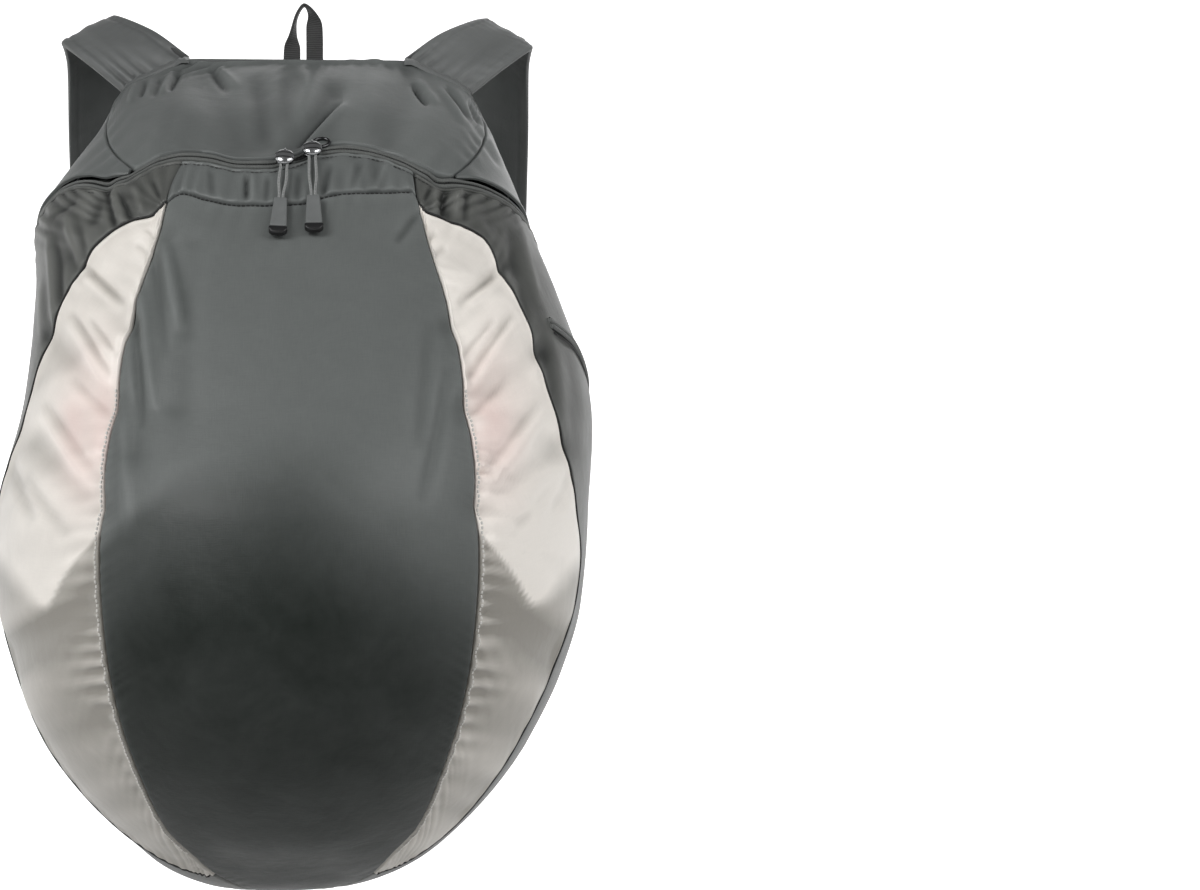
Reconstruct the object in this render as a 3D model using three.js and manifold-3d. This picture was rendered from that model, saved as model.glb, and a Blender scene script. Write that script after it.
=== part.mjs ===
// Motorcycle helmet bag: a soft backpack with two light crescents, hung by its haul loop.
// Millimetres, +Z up. The front dome faces -Y, the shoulder straps are at +Y.
// The origin is the hang point, under the top of the haul loop.
import * as THREE from 'three';
import Module from 'manifold-3d';
import { mergeVertices } from 'three/addons/utils/BufferGeometryUtils.js';

const wasm = await Module();
wasm.setup();

// Main sizes
const BODY_HEIGHT = 490;
const HALF_WIDTH = 170;
const BODY_DEPTH = 250;
// The hang point stands above the top seam, in front of the back's face, a little right of its middle.
const LOOP_RISE = 34;
const BACK_SETBACK = 5.6;
const LOOP_ACROSS = 4.2;

// Ends of seams, as shares of their own length
const TIP_TRIM = 0.0015;
const SHOULDER_SHARE = 0.14;
const GUSSET_END = 0.97;
const ZIP_END = 0.004;

// Cloth, pads and trim
const CLOTH = 1.5;
const SEAM_GAP = 0.3;
const BACK_PAD = 10;
const BACK_PAD_EDGE = 4;
const BACK_PAD_FALL = 28;
const PIPING_RADIUS = 2;
const WEBBING_THICK = 1.5;
const HAUL_WEBBING_WIDTH = 10;

// Zip
const ZIP_OPENING = 7.6;
const COIL_WIDTH = 2.4;
const COIL_THICK = 1.6;
const COIL_SINK = 0.8;
const TAPE_WIDTH = 5.4;
const TAPE_THICK = 0.7;
const TAPE_SINK = 1.5;

// Sliders and pulls. A slider's place is the way round of the zip, a lean the share of the pull's length.
const SLIDER_AROUND = { left: 0.4995, right: 0.516 };
const SLIDER_LENGTH = 10;
const SLIDER_WIDTH = 5;
const SLIDER_PLATE = 1.2;
const SLIDER_NOSE = 1.5;
const SLIDER_ROUND = 2.5;
const BRIDGE_WIDTH = 1.9;
const BRIDGE_THICK = 1.2;
const BRIDGE_SPAN = 8;
const BRIDGE_INNER_ROUND = 1;
const BRIDGE_OUTER_ROUND = 2;
const RING_WIRE = 0.65;
const RING_INSIDE = 2.1;
const RING_LENGTH = 4.5;
const CORD_RADIUS = 0.8;
const CORD_LENGTH = { left: 27, right: 32 };
const CORD_FOOT = 5;
const CORD_SHOULDER = 3;
const GRIP_LENGTH = 26;
const GRIP_TOP_WIDTH = 7;
const GRIP_END_WIDTH = 10;
const GRIP_THICK = 4.4;
const GRIP_ROUND = 1.1;
const GRIP_CORNER = 3;
const PULL_CLEARANCE = 2.2;
const PULL_LEAN = { left: -0.05, right: 0.02 };

// Shoulder straps
const STRAP_REACH = 104;
const STRAP_PAD = 7;
const STRAP_EDGE = 3;
const STRAP_END_SWELL = 0.35;
const STRAP_GROWTH = 5;
const STRAP_WEBBING_WIDTH = 25;
const WEBBING_DROP = 18;
const WEBBING_LIFT = 4;
const ANCHOR_DOWN = 0.86;
const ADJUSTER_WIDTH = 33;
const ADJUSTER_HEIGHT = 24;
const ADJUSTER_THICK = 4;
const ADJUSTER_SLOT = 4;
const ADJUSTER_BAR = 4;
const ADJUSTER_CORNER = 3;

// Side pocket zip
const POCKET_ZIP_WIDTH = 6.5;
const POCKET_ZIP_THICK = 1.2;
const POCKET_ZIP_LIFT = 0.2;

// Level sections of the body. down is a share of the height, half and shift of the half width,
// front of the depth. belly is the widest line's share of the section's own depth, square its exponent.
const SECTIONS = [
  { down: 0.0, half: 0.4, shift: 0.0, front: 0.008, belly: 0.1, square: 2.0 },
  { down: 0.012, half: 0.47, shift: 0.0, front: 0.07, belly: 0.1, square: 2.2 },
  { down: 0.034, half: 0.59, shift: 0.0, front: 0.17, belly: 0.12, square: 2.4 },
  { down: 0.08, half: 0.66, shift: 0.0, front: 0.345, belly: 0.14, square: 2.6 },
  { down: 0.138, half: 0.75, shift: -0.02, front: 0.49, belly: 0.16, square: 2.6 },
  { down: 0.19, half: 0.83, shift: -0.04, front: 0.575, belly: 0.18, square: 2.5 },
  { down: 0.286, half: 0.89, shift: 0.01, front: 0.715, belly: 0.2, square: 2.3 },
  { down: 0.408, half: 0.96, shift: 0.045, front: 0.865, belly: 0.2, square: 2.2 },
  { down: 0.55, half: 1.0, shift: 0.0, front: 0.985, belly: 0.2, square: 2.1 },
  { down: 0.65, half: 0.98, shift: -0.005, front: 1.0, belly: 0.2, square: 2.1 },
  { down: 0.73, half: 0.92, shift: -0.01, front: 0.96, belly: 0.2, square: 2.1 },
  { down: 0.811, half: 0.82, shift: -0.02, front: 0.86, belly: 0.2, square: 2.1 },
  { down: 0.863, half: 0.72, shift: -0.02, front: 0.755, belly: 0.2, square: 2.1 },
  { down: 0.931, half: 0.54, shift: -0.02, front: 0.555, belly: 0.2, square: 2.1 },
  { down: 0.965, half: 0.42, shift: -0.03, front: 0.41, belly: 0.2, square: 2.1 },
  { down: 0.989, half: 0.27, shift: -0.04, front: 0.24, belly: 0.2, square: 2.1 },
  { down: 1.0, half: 0.17, shift: -0.05, front: 0.008, belly: 0.1, square: 2.0 },
];

// Seam between the front panel and each crescent, alike on both sides. across is a share of the half width.
const INNER_SEAM = [
  { down: 0.19, across: 0.41 },
  { down: 0.235, across: 0.444 },
  { down: 0.294, across: 0.494 },
  { down: 0.351, across: 0.534 },
  { down: 0.43, across: 0.562 },
  { down: 0.487, across: 0.584 },
  { down: 0.59, across: 0.597 },
  { down: 0.69, across: 0.577 },
  { down: 0.766, across: 0.539 },
  { down: 0.837, across: 0.479 },
  { down: 0.899, across: 0.411 },
  { down: 0.934, across: 0.33 },
  { down: 0.965, across: 0.26 },
  { down: 0.99, across: 0.14 },
  { down: 1.0, across: 0.07 },
];

// Seam between each crescent and its side panel. left and right are shares of the way from their own
// back edge to the inner seam, so 1 is a tip. The left crescent wraps further round.
const OUTER_SEAM = [
  { down: 0.19, left: 1, right: 1 },
  { down: 0.2, left: 0.982, right: 0.978 },
  { down: 0.2055, left: 0.97, right: 0.91 },
  { down: 0.211, left: 0.905, right: 0.865 },
  { down: 0.23, left: 0.81, right: 0.753 },
  { down: 0.258, left: 0.725, right: 0.728 },
  { down: 0.295, left: 0.665, right: 0.708 },
  { down: 0.339, left: 0.587, right: 0.686 },
  { down: 0.39, left: 0.52, right: 0.683 },
  { down: 0.438, left: 0.467, right: 0.641 },
  { down: 0.488, left: 0.415, right: 0.577 },
  { down: 0.549, left: 0.365, right: 0.515 },
  { down: 0.6, left: 0.338, right: 0.46 },
  { down: 0.633, left: 0.334, right: 0.467 },
  { down: 0.672, left: 0.35, right: 0.503 },
  { down: 0.725, left: 0.364, right: 0.549 },
  { down: 0.862, left: 0.428, right: 0.607 },
  { down: 0.913, left: 0.512, right: 0.625 },
  { down: 0.941, left: 0.648, right: 0.7 },
  { down: 0.958, left: 0.85, right: 0.85 },
  { down: 0.965, left: 1, right: 1 },
];

// Middle of the main zip, from the left back edge over the front to the right back edge.
const ZIP_LINE = [
  { around: 0, down: 0.25 },
  { around: 0.06, down: 0.22 },
  { around: 0.095, down: 0.2 },
  { around: 0.13, down: 0.185 },
  { around: 0.163, down: 0.168 },
  { around: 0.217, down: 0.162 },
  { around: 0.269, down: 0.163 },
  { around: 0.315, down: 0.16 },
  { around: 0.333, down: 0.151 },
  { around: 0.357, down: 0.139 },
  { around: 0.391, down: 0.134 },
  { around: 0.426, down: 0.136 },
  { around: 0.464, down: 0.143 },
  { around: 0.491, down: 0.144 },
  { around: 0.503, down: 0.138 },
  { around: 0.521, down: 0.128 },
  { around: 0.55, down: 0.124 },
  { around: 0.581, down: 0.126 },
  { around: 0.623, down: 0.138 },
  { around: 0.657, down: 0.152 },
  { around: 0.699, down: 0.161 },
  { around: 0.748, down: 0.164 },
  { around: 0.807, down: 0.173 },
  { around: 0.875, down: 0.19 },
  { around: 0.94, down: 0.215 },
  { around: 1, down: 0.25 },
];

// Seam under the gathered band. share runs from the left crescent's tip to the right one's.
const BAND_SEAM = [
  { share: 0, down: 0.19 },
  { share: 0.066, down: 0.179 },
  { share: 0.154, down: 0.186 },
  { share: 0.293, down: 0.193 },
  { share: 0.405, down: 0.193 },
  { share: 0.534, down: 0.191 },
  { share: 0.612, down: 0.184 },
  { share: 0.724, down: 0.178 },
  { share: 0.846, down: 0.177 },
  { share: 0.975, down: 0.175 },
  { share: 1, down: 0.19 },
];

// Where the seam between the top panel and each gusset starts, on the back edge, and where it meets the zip.
const GUSSET_TOP_DOWN = 0.045;
const GUSSET_ZIP_AROUND = { left: 0.324, right: 0.706 };

// Main folds and dents, seen from the front, each from one [across, down] spot to another, as shares of
// the half width and of the height. wide and deep are shares of the depth.
const FOLDS = [
  { name: 'top crease from the sliders', from: [-0.01, 0.118], to: [0.13, 0.05], wide: 0.028, deep: 0.012 },
  { name: 'top panel, left dip', from: [-0.3, 0.03], to: [-0.18, 0.115], wide: 0.05, deep: 0.012 },
  { name: 'top panel, right dip', from: [0.42, 0.045], to: [0.3, 0.105], wide: 0.05, deep: 0.01 },
  { name: 'pleat under the zip, left', from: [-0.62, 0.165], to: [-0.66, 0.205], wide: 0.022, deep: 0.014 },
  { name: 'pleat under the zip, right', from: [0.48, 0.16], to: [0.52, 0.2], wide: 0.022, deep: 0.014 },
  { name: 'front, long left fold', from: [-0.42, 0.22], to: [-0.49, 0.47], wide: 0.03, deep: 0.008 },
  { name: 'front, second left fold', from: [-0.33, 0.24], to: [-0.36, 0.42], wide: 0.03, deep: 0.006 },
  { name: 'left crescent, upper fold', from: [-0.52, 0.33], to: [-0.72, 0.25], wide: 0.03, deep: 0.012 },
  { name: 'left crescent, middle fold', from: [-0.57, 0.42], to: [-0.8, 0.34], wide: 0.034, deep: 0.012 },
  { name: 'left crescent, lower fold', from: [-0.6, 0.53], to: [-0.84, 0.46], wide: 0.036, deep: 0.012 },
  { name: 'right crescent, upper fold', from: [0.52, 0.33], to: [0.7, 0.26], wide: 0.03, deep: 0.012 },
  { name: 'right crescent, middle fold', from: [0.57, 0.42], to: [0.8, 0.36], wide: 0.034, deep: 0.012 },
  { name: 'right crescent, lower fold', from: [0.6, 0.53], to: [0.86, 0.47], wide: 0.036, deep: 0.012 },
  { name: 'bottom dip', from: [-0.2, 0.95], to: [0.12, 0.955], wide: 0.05, deep: 0.012 },
];

// Edges of the left shoulder strap from its root to its lower end. Across values are shares of the half
// width, outwards from the middle, back values of the strap's reach, down values of the body height.
const STRAP_EDGES = [
  { outAcross: 0.607, outBack: 0.075, outDown: 0.036, inAcross: 0.376, inBack: 0.075, inDown: -0.006 },
  { outAcross: 0.735, outBack: 0.22, outDown: -0.002, inAcross: 0.515, inBack: 0.25, inDown: -0.043 },
  { outAcross: 0.835, outBack: 0.44, outDown: -0.03, inAcross: 0.655, inBack: 0.56, inDown: -0.067 },
  { outAcross: 0.83, outBack: 0.72, outDown: -0.012, inAcross: 0.66, inBack: 0.86, inDown: -0.042 },
  { outAcross: 0.835, outBack: 0.9, outDown: 0.06, inAcross: 0.56, inBack: 0.97, inDown: 0.045 },
  { outAcross: 0.83, outBack: 0.96, outDown: 0.16, inAcross: 0.535, inBack: 1.0, inDown: 0.155 },
  { outAcross: 0.805, outBack: 0.97, outDown: 0.37, inAcross: 0.51, inBack: 0.98, inDown: 0.37 },
  { outAcross: 0.755, outBack: 0.88, outDown: 0.54, inAcross: 0.5, inBack: 0.88, inDown: 0.54 },
  { outAcross: 0.71, outBack: 0.74, outDown: 0.67, inAcross: 0.53, inBack: 0.74, inDown: 0.67 },
];

// Middle of the haul loop's webbing. across is a share of the webbing's width, up of the loop's rise,
// turn the degrees that its flat side is turned from facing the front.
const HAUL_LOOP = [
  { across: -0.74, up: -0.99, turn: 0 },
  { across: -0.72, up: -0.75, turn: 15 },
  { across: -0.66, up: -0.5, turn: 66 },
  { across: -0.52, up: -0.22, turn: 86 },
  { across: 0.0, up: 0.03, turn: 90 },
  { across: 0.46, up: -0.14, turn: 62 },
  { across: 0.6, up: -0.36, turn: 15 },
  { across: 0.62, up: -0.7, turn: 0 },
  { across: 0.62, up: -0.99, turn: 0 },
];

// Middle of the pocket zip on the right side panel.
const POCKET_ZIP = [
  { around: 0.804, down: 0.324 },
  { around: 0.83, down: 0.332 },
  { around: 0.86, down: 0.342 },
  { around: 0.905, down: 0.367 },
  { around: 0.955, down: 0.4 },
];

// Mesh steps
const SEAM_STEPS = 25;
const SIDE_CORNER_STEPS = 10;
const BOTTOM_ROWS = [0.978, 0.988, 0.994, 0.998, 1.0];
const FRONT_STEPS = 12;
const CRESCENT_STEPS = 5;
const SIDE_COLUMNS = [0, 0.07, 0.25, 0.45, 0.65, 0.85, 1];
const GUSSET_COLUMNS = [0, 0.4, 0.75, 0.92, 1];
const TOP_ROWS = [0, 0.12, 0.3, 0.5, 0.7, 0.9, 1];
const BACK_ROWS = [
  0, 0.012, 0.034, 0.08, 0.15, 0.24, 0.34, 0.44, 0.54, 0.64, 0.73, 0.81, 0.87, 0.93, 0.965, 0.989, 1,
];
const ZIP_STEPS = 44;
const LOOP_STEPS = 28;
const STRAP_STEPS = 24;
const STRIP_STEPS = 12;

const CHARCOAL = 0x5d6160;
const CHARCOAL_DARK = 0x3f4341;
const LIGHT_GREY = 0xd9d5ce;
const COIL_BLACK = 0x1d1f1e;
const GUNMETAL = 0x8a8c8e;
const RING_STEEL = 0xb4b6b8;
const GRIP_GREY = 0x62666a;
const ADJUSTER_BLACK = 0x1c1d1f;
const WEBBING_GREY = 0x383a39;

// A smooth curve through a table's column, with no overshoot between its rows.
function along(table, key, column, at) {
  const last = table.length - 1;
  const x = Math.min(Math.max(at, table[0][key]), table[last][key]);
  let i = 0;
  while (i < last - 1 && x > table[i + 1][key]) i += 1;
  const span = (k) => table[k + 1][key] - table[k][key];
  const slope = (k) => (table[k + 1][column] - table[k][column]) / span(k);
  const tangent = (k) => {
    if (k === 0) return slope(0);
    if (k === last) return slope(last - 1);
    const [before, after] = [slope(k - 1), slope(k)];
    if (before * after <= 0) return 0;
    const [heavy, light] = [2 * span(k) + span(k - 1), span(k) + 2 * span(k - 1)];
    return (heavy + light) / (heavy / before + light / after);
  };
  const h = span(i);
  const t = (x - table[i][key]) / h;
  const start = (1 + 2 * t) * (1 - t) ** 2 * table[i][column] + t * (1 - t) ** 2 * h * tangent(i);
  return start + t * t * (3 - 2 * t) * table[i + 1][column] + t * t * (t - 1) * h * tangent(i + 1);
}

function power(value, exponent) {
  return Math.sign(value) * Math.abs(value) ** exponent;
}

function section(down) {
  const depth = BODY_DEPTH * along(SECTIONS, 'down', 'front', down);
  const belly = depth * along(SECTIONS, 'down', 'belly', down);
  const square = along(SECTIONS, 'down', 'square', down);
  return {
    half: HALF_WIDTH * along(SECTIONS, 'down', 'half', down),
    middle: HALF_WIDTH * along(SECTIONS, 'down', 'shift', down),
    belly,
    rise: depth - belly,
    square,
    wrap: Math.asin((belly / (depth - belly)) ** (square / 2)),
  };
}

// The smooth body: around runs from 0 at the left back edge over the front to 1 at the right one.
function smoothPoint(around, down) {
  const s = section(down);
  const angle = around * (Math.PI + 2 * s.wrap) - s.wrap;
  const x = s.middle - s.half * power(Math.cos(angle), 2 / s.square);
  const y = -(s.belly + s.rise * power(Math.sin(angle), 2 / s.square));
  return new THREE.Vector3(x, y, -BODY_HEIGHT * down);
}

// The way round at which the front reaches a given distance across, in millimetres.
function aroundAt(across, down) {
  const s = section(down);
  const reach = Math.min(Math.max((s.middle - across) / s.half, -1), 1);
  const angle = Math.acos(power(reach, s.square / 2));
  return (angle + s.wrap) / (Math.PI + 2 * s.wrap);
}

function slopes(around, down) {
  const step = 0.002;
  const low = Math.max(down - step, 0);
  const high = Math.min(down + step, 1);
  const left = Math.max(around - step, 0);
  const right = Math.min(around + step, 1);
  const sideways = smoothPoint(right, down).sub(smoothPoint(left, down)).divideScalar(right - left);
  const downwards = smoothPoint(around, high).sub(smoothPoint(around, low)).divideScalar(high - low);
  return { sideways, downwards };
}

function outward(around, down) {
  const { sideways, downwards } = slopes(around, down);
  return downwards.clone().cross(sideways).normalize();
}

// How far the folds press the cloth in at a point of the body.
function foldDepth(point) {
  let depth = 0;
  for (const fold of FOLDS) {
    const from = new THREE.Vector2(fold.from[0] * HALF_WIDTH, -fold.from[1] * BODY_HEIGHT);
    const to = new THREE.Vector2(fold.to[0] * HALF_WIDTH, -fold.to[1] * BODY_HEIGHT);
    const spot = new THREE.Vector2(point.x, point.z).sub(from);
    const line = to.sub(from);
    const share = Math.min(Math.max(spot.dot(line) / line.lengthSq(), 0), 1);
    const off = spot.distanceTo(line.clone().multiplyScalar(share)) / (fold.wide * BODY_DEPTH);
    depth += fold.deep * BODY_DEPTH * Math.exp(-off * off);
  }
  return depth;
}

// A spot of the cloth: a point raised from the folded body along its outward direction.
function spotOn(around, down, lift = 0) {
  const point = smoothPoint(around, down);
  const normal = outward(around, down);
  return point.addScaledVector(normal, lift - foldDepth(point));
}

function clothSpot(around, down) {
  return { outer: spotOn(around, down), inner: spotOn(around, down, -CLOTH) };
}

function stripSpot(around, down, top, thick) {
  return { outer: spotOn(around, down, top), inner: spotOn(around, down, top - thick) };
}

// The share of the height that a length along the cloth takes up.
function downStep(around, down, length) {
  return length / slopes(around, down).downwards.length();
}

function mix(a, b, share) {
  return a + (b - a) * share;
}

// Draws the rim of a grid of points in, so that neighbouring cloths keep their seam gap.
function drawnIn(grid, inset) {
  const rows = grid.length - 1;
  const columns = grid[0].length - 1;
  return grid.map((line, i) => line.map((point, j) => {
    const moved = point.clone();
    const pull = (neighbour) => {
      const way = neighbour.clone().sub(point);
      moved.addScaledVector(way.normalize(), inset);
    };
    if (i === 0) pull(grid[1][j]);
    if (i === rows) pull(grid[rows - 1][j]);
    if (j === 0) pull(line[1]);
    if (j === columns) pull(line[columns - 1]);
    return moved;
  }));
}

// A closed solid from its points and its faces, turned so that the faces look outwards.
function closedGeometry(points, faces) {
  let volume = 0;
  for (const [a, b, c] of faces) {
    volume += points[a].dot(points[b].clone().cross(points[c]));
  }
  const turned = volume < 0 ? faces.map(([a, b, c]) => [a, c, b]) : faces;
  const geometry = new THREE.BufferGeometry();
  geometry.setAttribute('position', new THREE.Float32BufferAttribute(points.flatMap((p) => p.toArray()), 3));
  geometry.setIndex(turned.flat());
  geometry.computeVertexNormals();
  return geometry;
}

// A closed sheet over a grid: an outer skin, an inner skin and the rim between them.
// spot(u, v) gives the outer and the inner point, with u along a row and v from row to row.
function sheet(rows, columns, spot, inset = SEAM_GAP / 2) {
  const spots = rows.map((v) => columns.map((u) => spot(u, v)));
  const skin = (side) => drawnIn(spots.map((line) => line.map((s) => s[side])), inset);
  const skins = [skin('outer'), skin('inner')];
  const height = rows.length;
  const width = columns.length;
  const points = skins.flat(2);
  const at = (skin, i, j) => skin * height * width + i * width + j;
  const faces = [];
  const quad = (a, b, c, d) => faces.push([a, b, c], [a, c, d]);
  for (let i = 0; i < height - 1; i += 1) {
    for (let j = 0; j < width - 1; j += 1) {
      quad(at(0, i, j), at(0, i, j + 1), at(0, i + 1, j + 1), at(0, i + 1, j));
      quad(at(1, i, j), at(1, i + 1, j), at(1, i + 1, j + 1), at(1, i, j + 1));
    }
  }
  for (let j = 0; j < width - 1; j += 1) {
    quad(at(0, 0, j + 1), at(0, 0, j), at(1, 0, j), at(1, 0, j + 1));
    quad(at(0, height - 1, j), at(0, height - 1, j + 1), at(1, height - 1, j + 1), at(1, height - 1, j));
  }
  for (let i = 0; i < height - 1; i += 1) {
    quad(at(0, i, 0), at(0, i + 1, 0), at(1, i + 1, 0), at(1, i, 0));
    quad(at(0, i + 1, width - 1), at(0, i, width - 1), at(1, i, width - 1), at(1, i + 1, width - 1));
  }
  return closedGeometry(points, faces);
}

function shares(steps) {
  return Array.from({ length: steps + 1 }, (_, i) => i / steps);
}

// A round tube along a smooth line through a few points.
function tube(points, radius, steps, sides) {
  const round = new THREE.Shape();
  for (let i = 0; i < sides; i += 1) {
    const angle = (2 * Math.PI * i) / sides;
    const [x, y] = [radius * Math.cos(angle), radius * Math.sin(angle)];
    if (i === 0) round.moveTo(x, y);
    else round.lineTo(x, y);
  }
  const path = new THREE.CatmullRomCurve3(points, false, 'centripetal');
  return new THREE.ExtrudeGeometry(round, { steps, extrudePath: path, curveSegments: sides });
}

function toSolid(geometry) {
  const bare = geometry.clone();
  bare.deleteAttribute('normal');
  bare.deleteAttribute('uv');
  const merged = mergeVertices(bare);
  const mesh = new wasm.Mesh({
    numProp: 3,
    vertProperties: new Float32Array(merged.attributes.position.array),
    triVerts: new Uint32Array(merged.index.array),
  });
  return new wasm.Manifold(mesh);
}

function toGeometry(solid) {
  const mesh = solid.getMesh();
  const geometry = new THREE.BufferGeometry();
  geometry.setAttribute('position', new THREE.BufferAttribute(mesh.vertProperties, 3));
  geometry.setIndex(new THREE.BufferAttribute(mesh.triVerts, 1));
  geometry.computeVertexNormals();
  return geometry;
}

function material(color, roughness, metalness = 0) {
  return new THREE.MeshStandardMaterial({ color, roughness, metalness });
}

function place(group, name, geometry, look) {
  const mesh = new THREE.Mesh(geometry, look);
  mesh.name = name;
  group.add(mesh);
  return mesh;
}

// Seams as lists of { around, down } stations, the same for the cloths on both sides of each seam.
function innerSeam(side, down) {
  const across = HALF_WIDTH * along(INNER_SEAM, 'down', 'across', down);
  return { around: aroundAt(side === 'left' ? -across : across, down), down };
}

function outerSeam(side, down) {
  const share = along(OUTER_SEAM, 'down', side, down);
  return { around: mix(side === 'left' ? 0 : 1, innerSeam(side, down).around, share), down };
}

const SEAM_TOP = INNER_SEAM[0].down;
const SEAM_BOTTOM = OUTER_SEAM[OUTER_SEAM.length - 1].down;
const INNER_ROWS = shares(SEAM_STEPS).map((t) => mix(SEAM_TOP, SEAM_BOTTOM, t ** 1.15));
// The outer seam bends most near its tips, so its stations lie closer together there.
const OUTER_ROWS = shares(SEAM_STEPS).map((t) => {
  const late = t ** 1.35;
  return mix(SEAM_TOP, SEAM_BOTTOM, late - (0.8 * Math.sin(2 * Math.PI * late)) / (2 * Math.PI));
});

function zipDown(around, offset = 0) {
  const middle = along(ZIP_LINE, 'around', 'down', around);
  return middle + downStep(around, middle, offset);
}

function frontPanel() {
  const rows = [...INNER_ROWS, ...BOTTOM_ROWS];
  return sheet(rows.map((_, i) => i), shares(FRONT_STEPS), (u, i) => {
    const left = HALF_WIDTH * -along(INNER_SEAM, 'down', 'across', rows[i]);
    const across = mix(left, -left, u);
    const down = i === 0 ? along(BAND_SEAM, 'share', 'down', u) : rows[i];
    return clothSpot(aroundAt(across, down), down);
  });
}

function frontBand() {
  const half = HALF_WIDTH * INNER_SEAM[0].across;
  const start = aroundAt(-half, SEAM_TOP);
  const end = aroundAt(half, SEAM_TOP);
  return sheet(shares(3), shares(FRONT_STEPS), (u, v) => {
    const low = along(BAND_SEAM, 'share', 'down', u);
    const lowAround = aroundAt(mix(-half, half, u), low);
    const highAround = u === 0 ? start : u === 1 ? end : lowAround;
    const high = zipDown(highAround, ZIP_OPENING / 2);
    return clothSpot(mix(highAround, lowAround, v), mix(high, low, v));
  });
}

function crescent(side) {
  return sheet(INNER_ROWS.map((_, i) => i), shares(CRESCENT_STEPS), (u, i) => {
    const away = i === 0 ? TIP_TRIM : i === SEAM_STEPS ? -TIP_TRIM : 0;
    const outer = outerSeam(side, OUTER_ROWS[i] + away);
    const inner = innerSeam(side, INNER_ROWS[i] + away);
    return clothSpot(mix(outer.around, inner.around, u), mix(outer.down, inner.down, u));
  });
}

// The side panel lies between the zip and the back edge on one side and the outer seam on the other.
function sidePanel(side) {
  const back = side === 'left' ? 0 : 1;
  const tip = innerSeam(side, SEAM_TOP).around;
  const seam = [
    ...OUTER_ROWS.map((down) => outerSeam(side, down)),
    ...BOTTOM_ROWS.map((down) => innerSeam(side, down)),
  ];
  const edge = seam.map((spot, i) => {
    const around = mix(tip, back, Math.min(i / SIDE_CORNER_STEPS, 1));
    const start = zipDown(around, ZIP_OPENING / 2);
    const first = seam[SIDE_CORNER_STEPS].down;
    const rest = Math.max(spot.down - first, 0) / (1 - first);
    return { around, down: mix(start, 1, rest) };
  });
  return sheet(edge.map((_, i) => i), SIDE_COLUMNS, (u, i) => {
    const around = mix(edge[i].around, seam[i].around, u);
    return clothSpot(around, mix(edge[i].down, seam[i].down, u));
  });
}

// The top panel reaches from the back edge, over both shoulders, to the zip.
function topPanel() {
  const { left, right } = GUSSET_ZIP_AROUND;
  const half = [0, 0.05, 0.1, SHOULDER_SHARE, 0.22, 0.3, 0.38, 0.46];
  const columns = [...half, ...half.map((u) => 1 - u).reverse()];
  return sheet(TOP_ROWS, columns, (u, v) => {
    const side = Math.min(u, 1 - u);
    const topAround = Math.min(Math.max((u - SHOULDER_SHARE) / (1 - 2 * SHOULDER_SHARE), 0), 1);
    const topDown = side < SHOULDER_SHARE ? mix(GUSSET_TOP_DOWN, 0, side / SHOULDER_SHARE) : 0;
    const zipAround = mix(left, right, u);
    const zipEdge = zipDown(zipAround, -ZIP_OPENING / 2);
    return clothSpot(mix(topAround, zipAround, v), mix(topDown, zipEdge, v));
  });
}

function topGusset(side) {
  const end = GUSSET_ZIP_AROUND[side];
  const start = side === 'left' ? 0 : 1;
  return sheet(shares(STRIP_STEPS).map((v) => v * GUSSET_END), GUSSET_COLUMNS, (u, v) => {
    const around = mix(start, end, v);
    const seam = mix(GUSSET_TOP_DOWN, zipDown(end, -ZIP_OPENING / 2), v);
    return clothSpot(around, mix(seam, zipDown(around, -ZIP_OPENING / 2), u));
  });
}

// The outline of the back, set in by a length: the left edge upwards, then the right edge downwards.
function backRim(inset) {
  const left = BACK_ROWS.map((down) => smoothPoint(0, down)).reverse();
  const rim = [...left, ...BACK_ROWS.map((down) => smoothPoint(1, down))];
  return rim.map((point, i) => {
    const before = rim[(i + rim.length - 1) % rim.length];
    const after = rim[(i + 1) % rim.length];
    const inwards = after.clone().sub(before).normalize().cross(new THREE.Vector3(0, -1, 0));
    return point.clone().addScaledVector(inwards, inset);
  });
}

// The padded back lies flat behind the body's back edge and swells away from it.
function backPanel() {
  const rim = backRim(PIPING_RADIUS + 2 * SEAM_GAP);
  const last = BACK_ROWS.length - 1;
  return sheet(BACK_ROWS.map((_, i) => i), shares(10), (u, i) => {
    const left = rim[last - i];
    const right = rim[last + 1 + i];
    const inner = left.clone().lerp(right, u).setY(SEAM_GAP);
    const side = Math.min(u, 1 - u) * left.distanceTo(right);
    const fall = Math.min(side, BACK_ROWS[i] * BODY_HEIGHT, (1 - BACK_ROWS[i]) * BODY_HEIGHT) / BACK_PAD_FALL;
    const swell = Math.sin((Math.min(fall, 1) * Math.PI) / 2);
    return { outer: inner.clone().setY(SEAM_GAP + mix(BACK_PAD_EDGE, BACK_PAD, swell)), inner };
  }, 0);
}

// The piping runs all round the back, between the edges of the cloth and of the padded back.
function edgePiping() {
  const rim = backRim(0).map((point) => point.setY(PIPING_RADIUS + SEAM_GAP));
  const middle = BACK_ROWS.length;
  const top = [1 / 3, 2 / 3].map((share) => rim[middle - 1].clone().lerp(rim[middle], share));
  rim.splice(middle, 0, ...top);
  return closedTube(rim, new THREE.Vector3(0, 1, 0), PIPING_RADIUS, 6);
}

function zipStrip(from, to, top, thick) {
  const rows = shares(ZIP_STEPS).map((t) => mix(ZIP_END, 1 - ZIP_END, t));
  return sheet(rows, [0, 1], (u, around) => stripSpot(around, zipDown(around, mix(from, to, u)), top, thick));
}

function zipCoil() {
  return zipStrip(-COIL_WIDTH / 2, COIL_WIDTH / 2, -COIL_SINK, COIL_THICK);
}

function zipTape(direction) {
  const near = direction * (COIL_WIDTH / 2 + SEAM_GAP);
  return zipStrip(near, near + direction * TAPE_WIDTH, -CLOTH - TAPE_SINK, TAPE_THICK);
}

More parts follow.
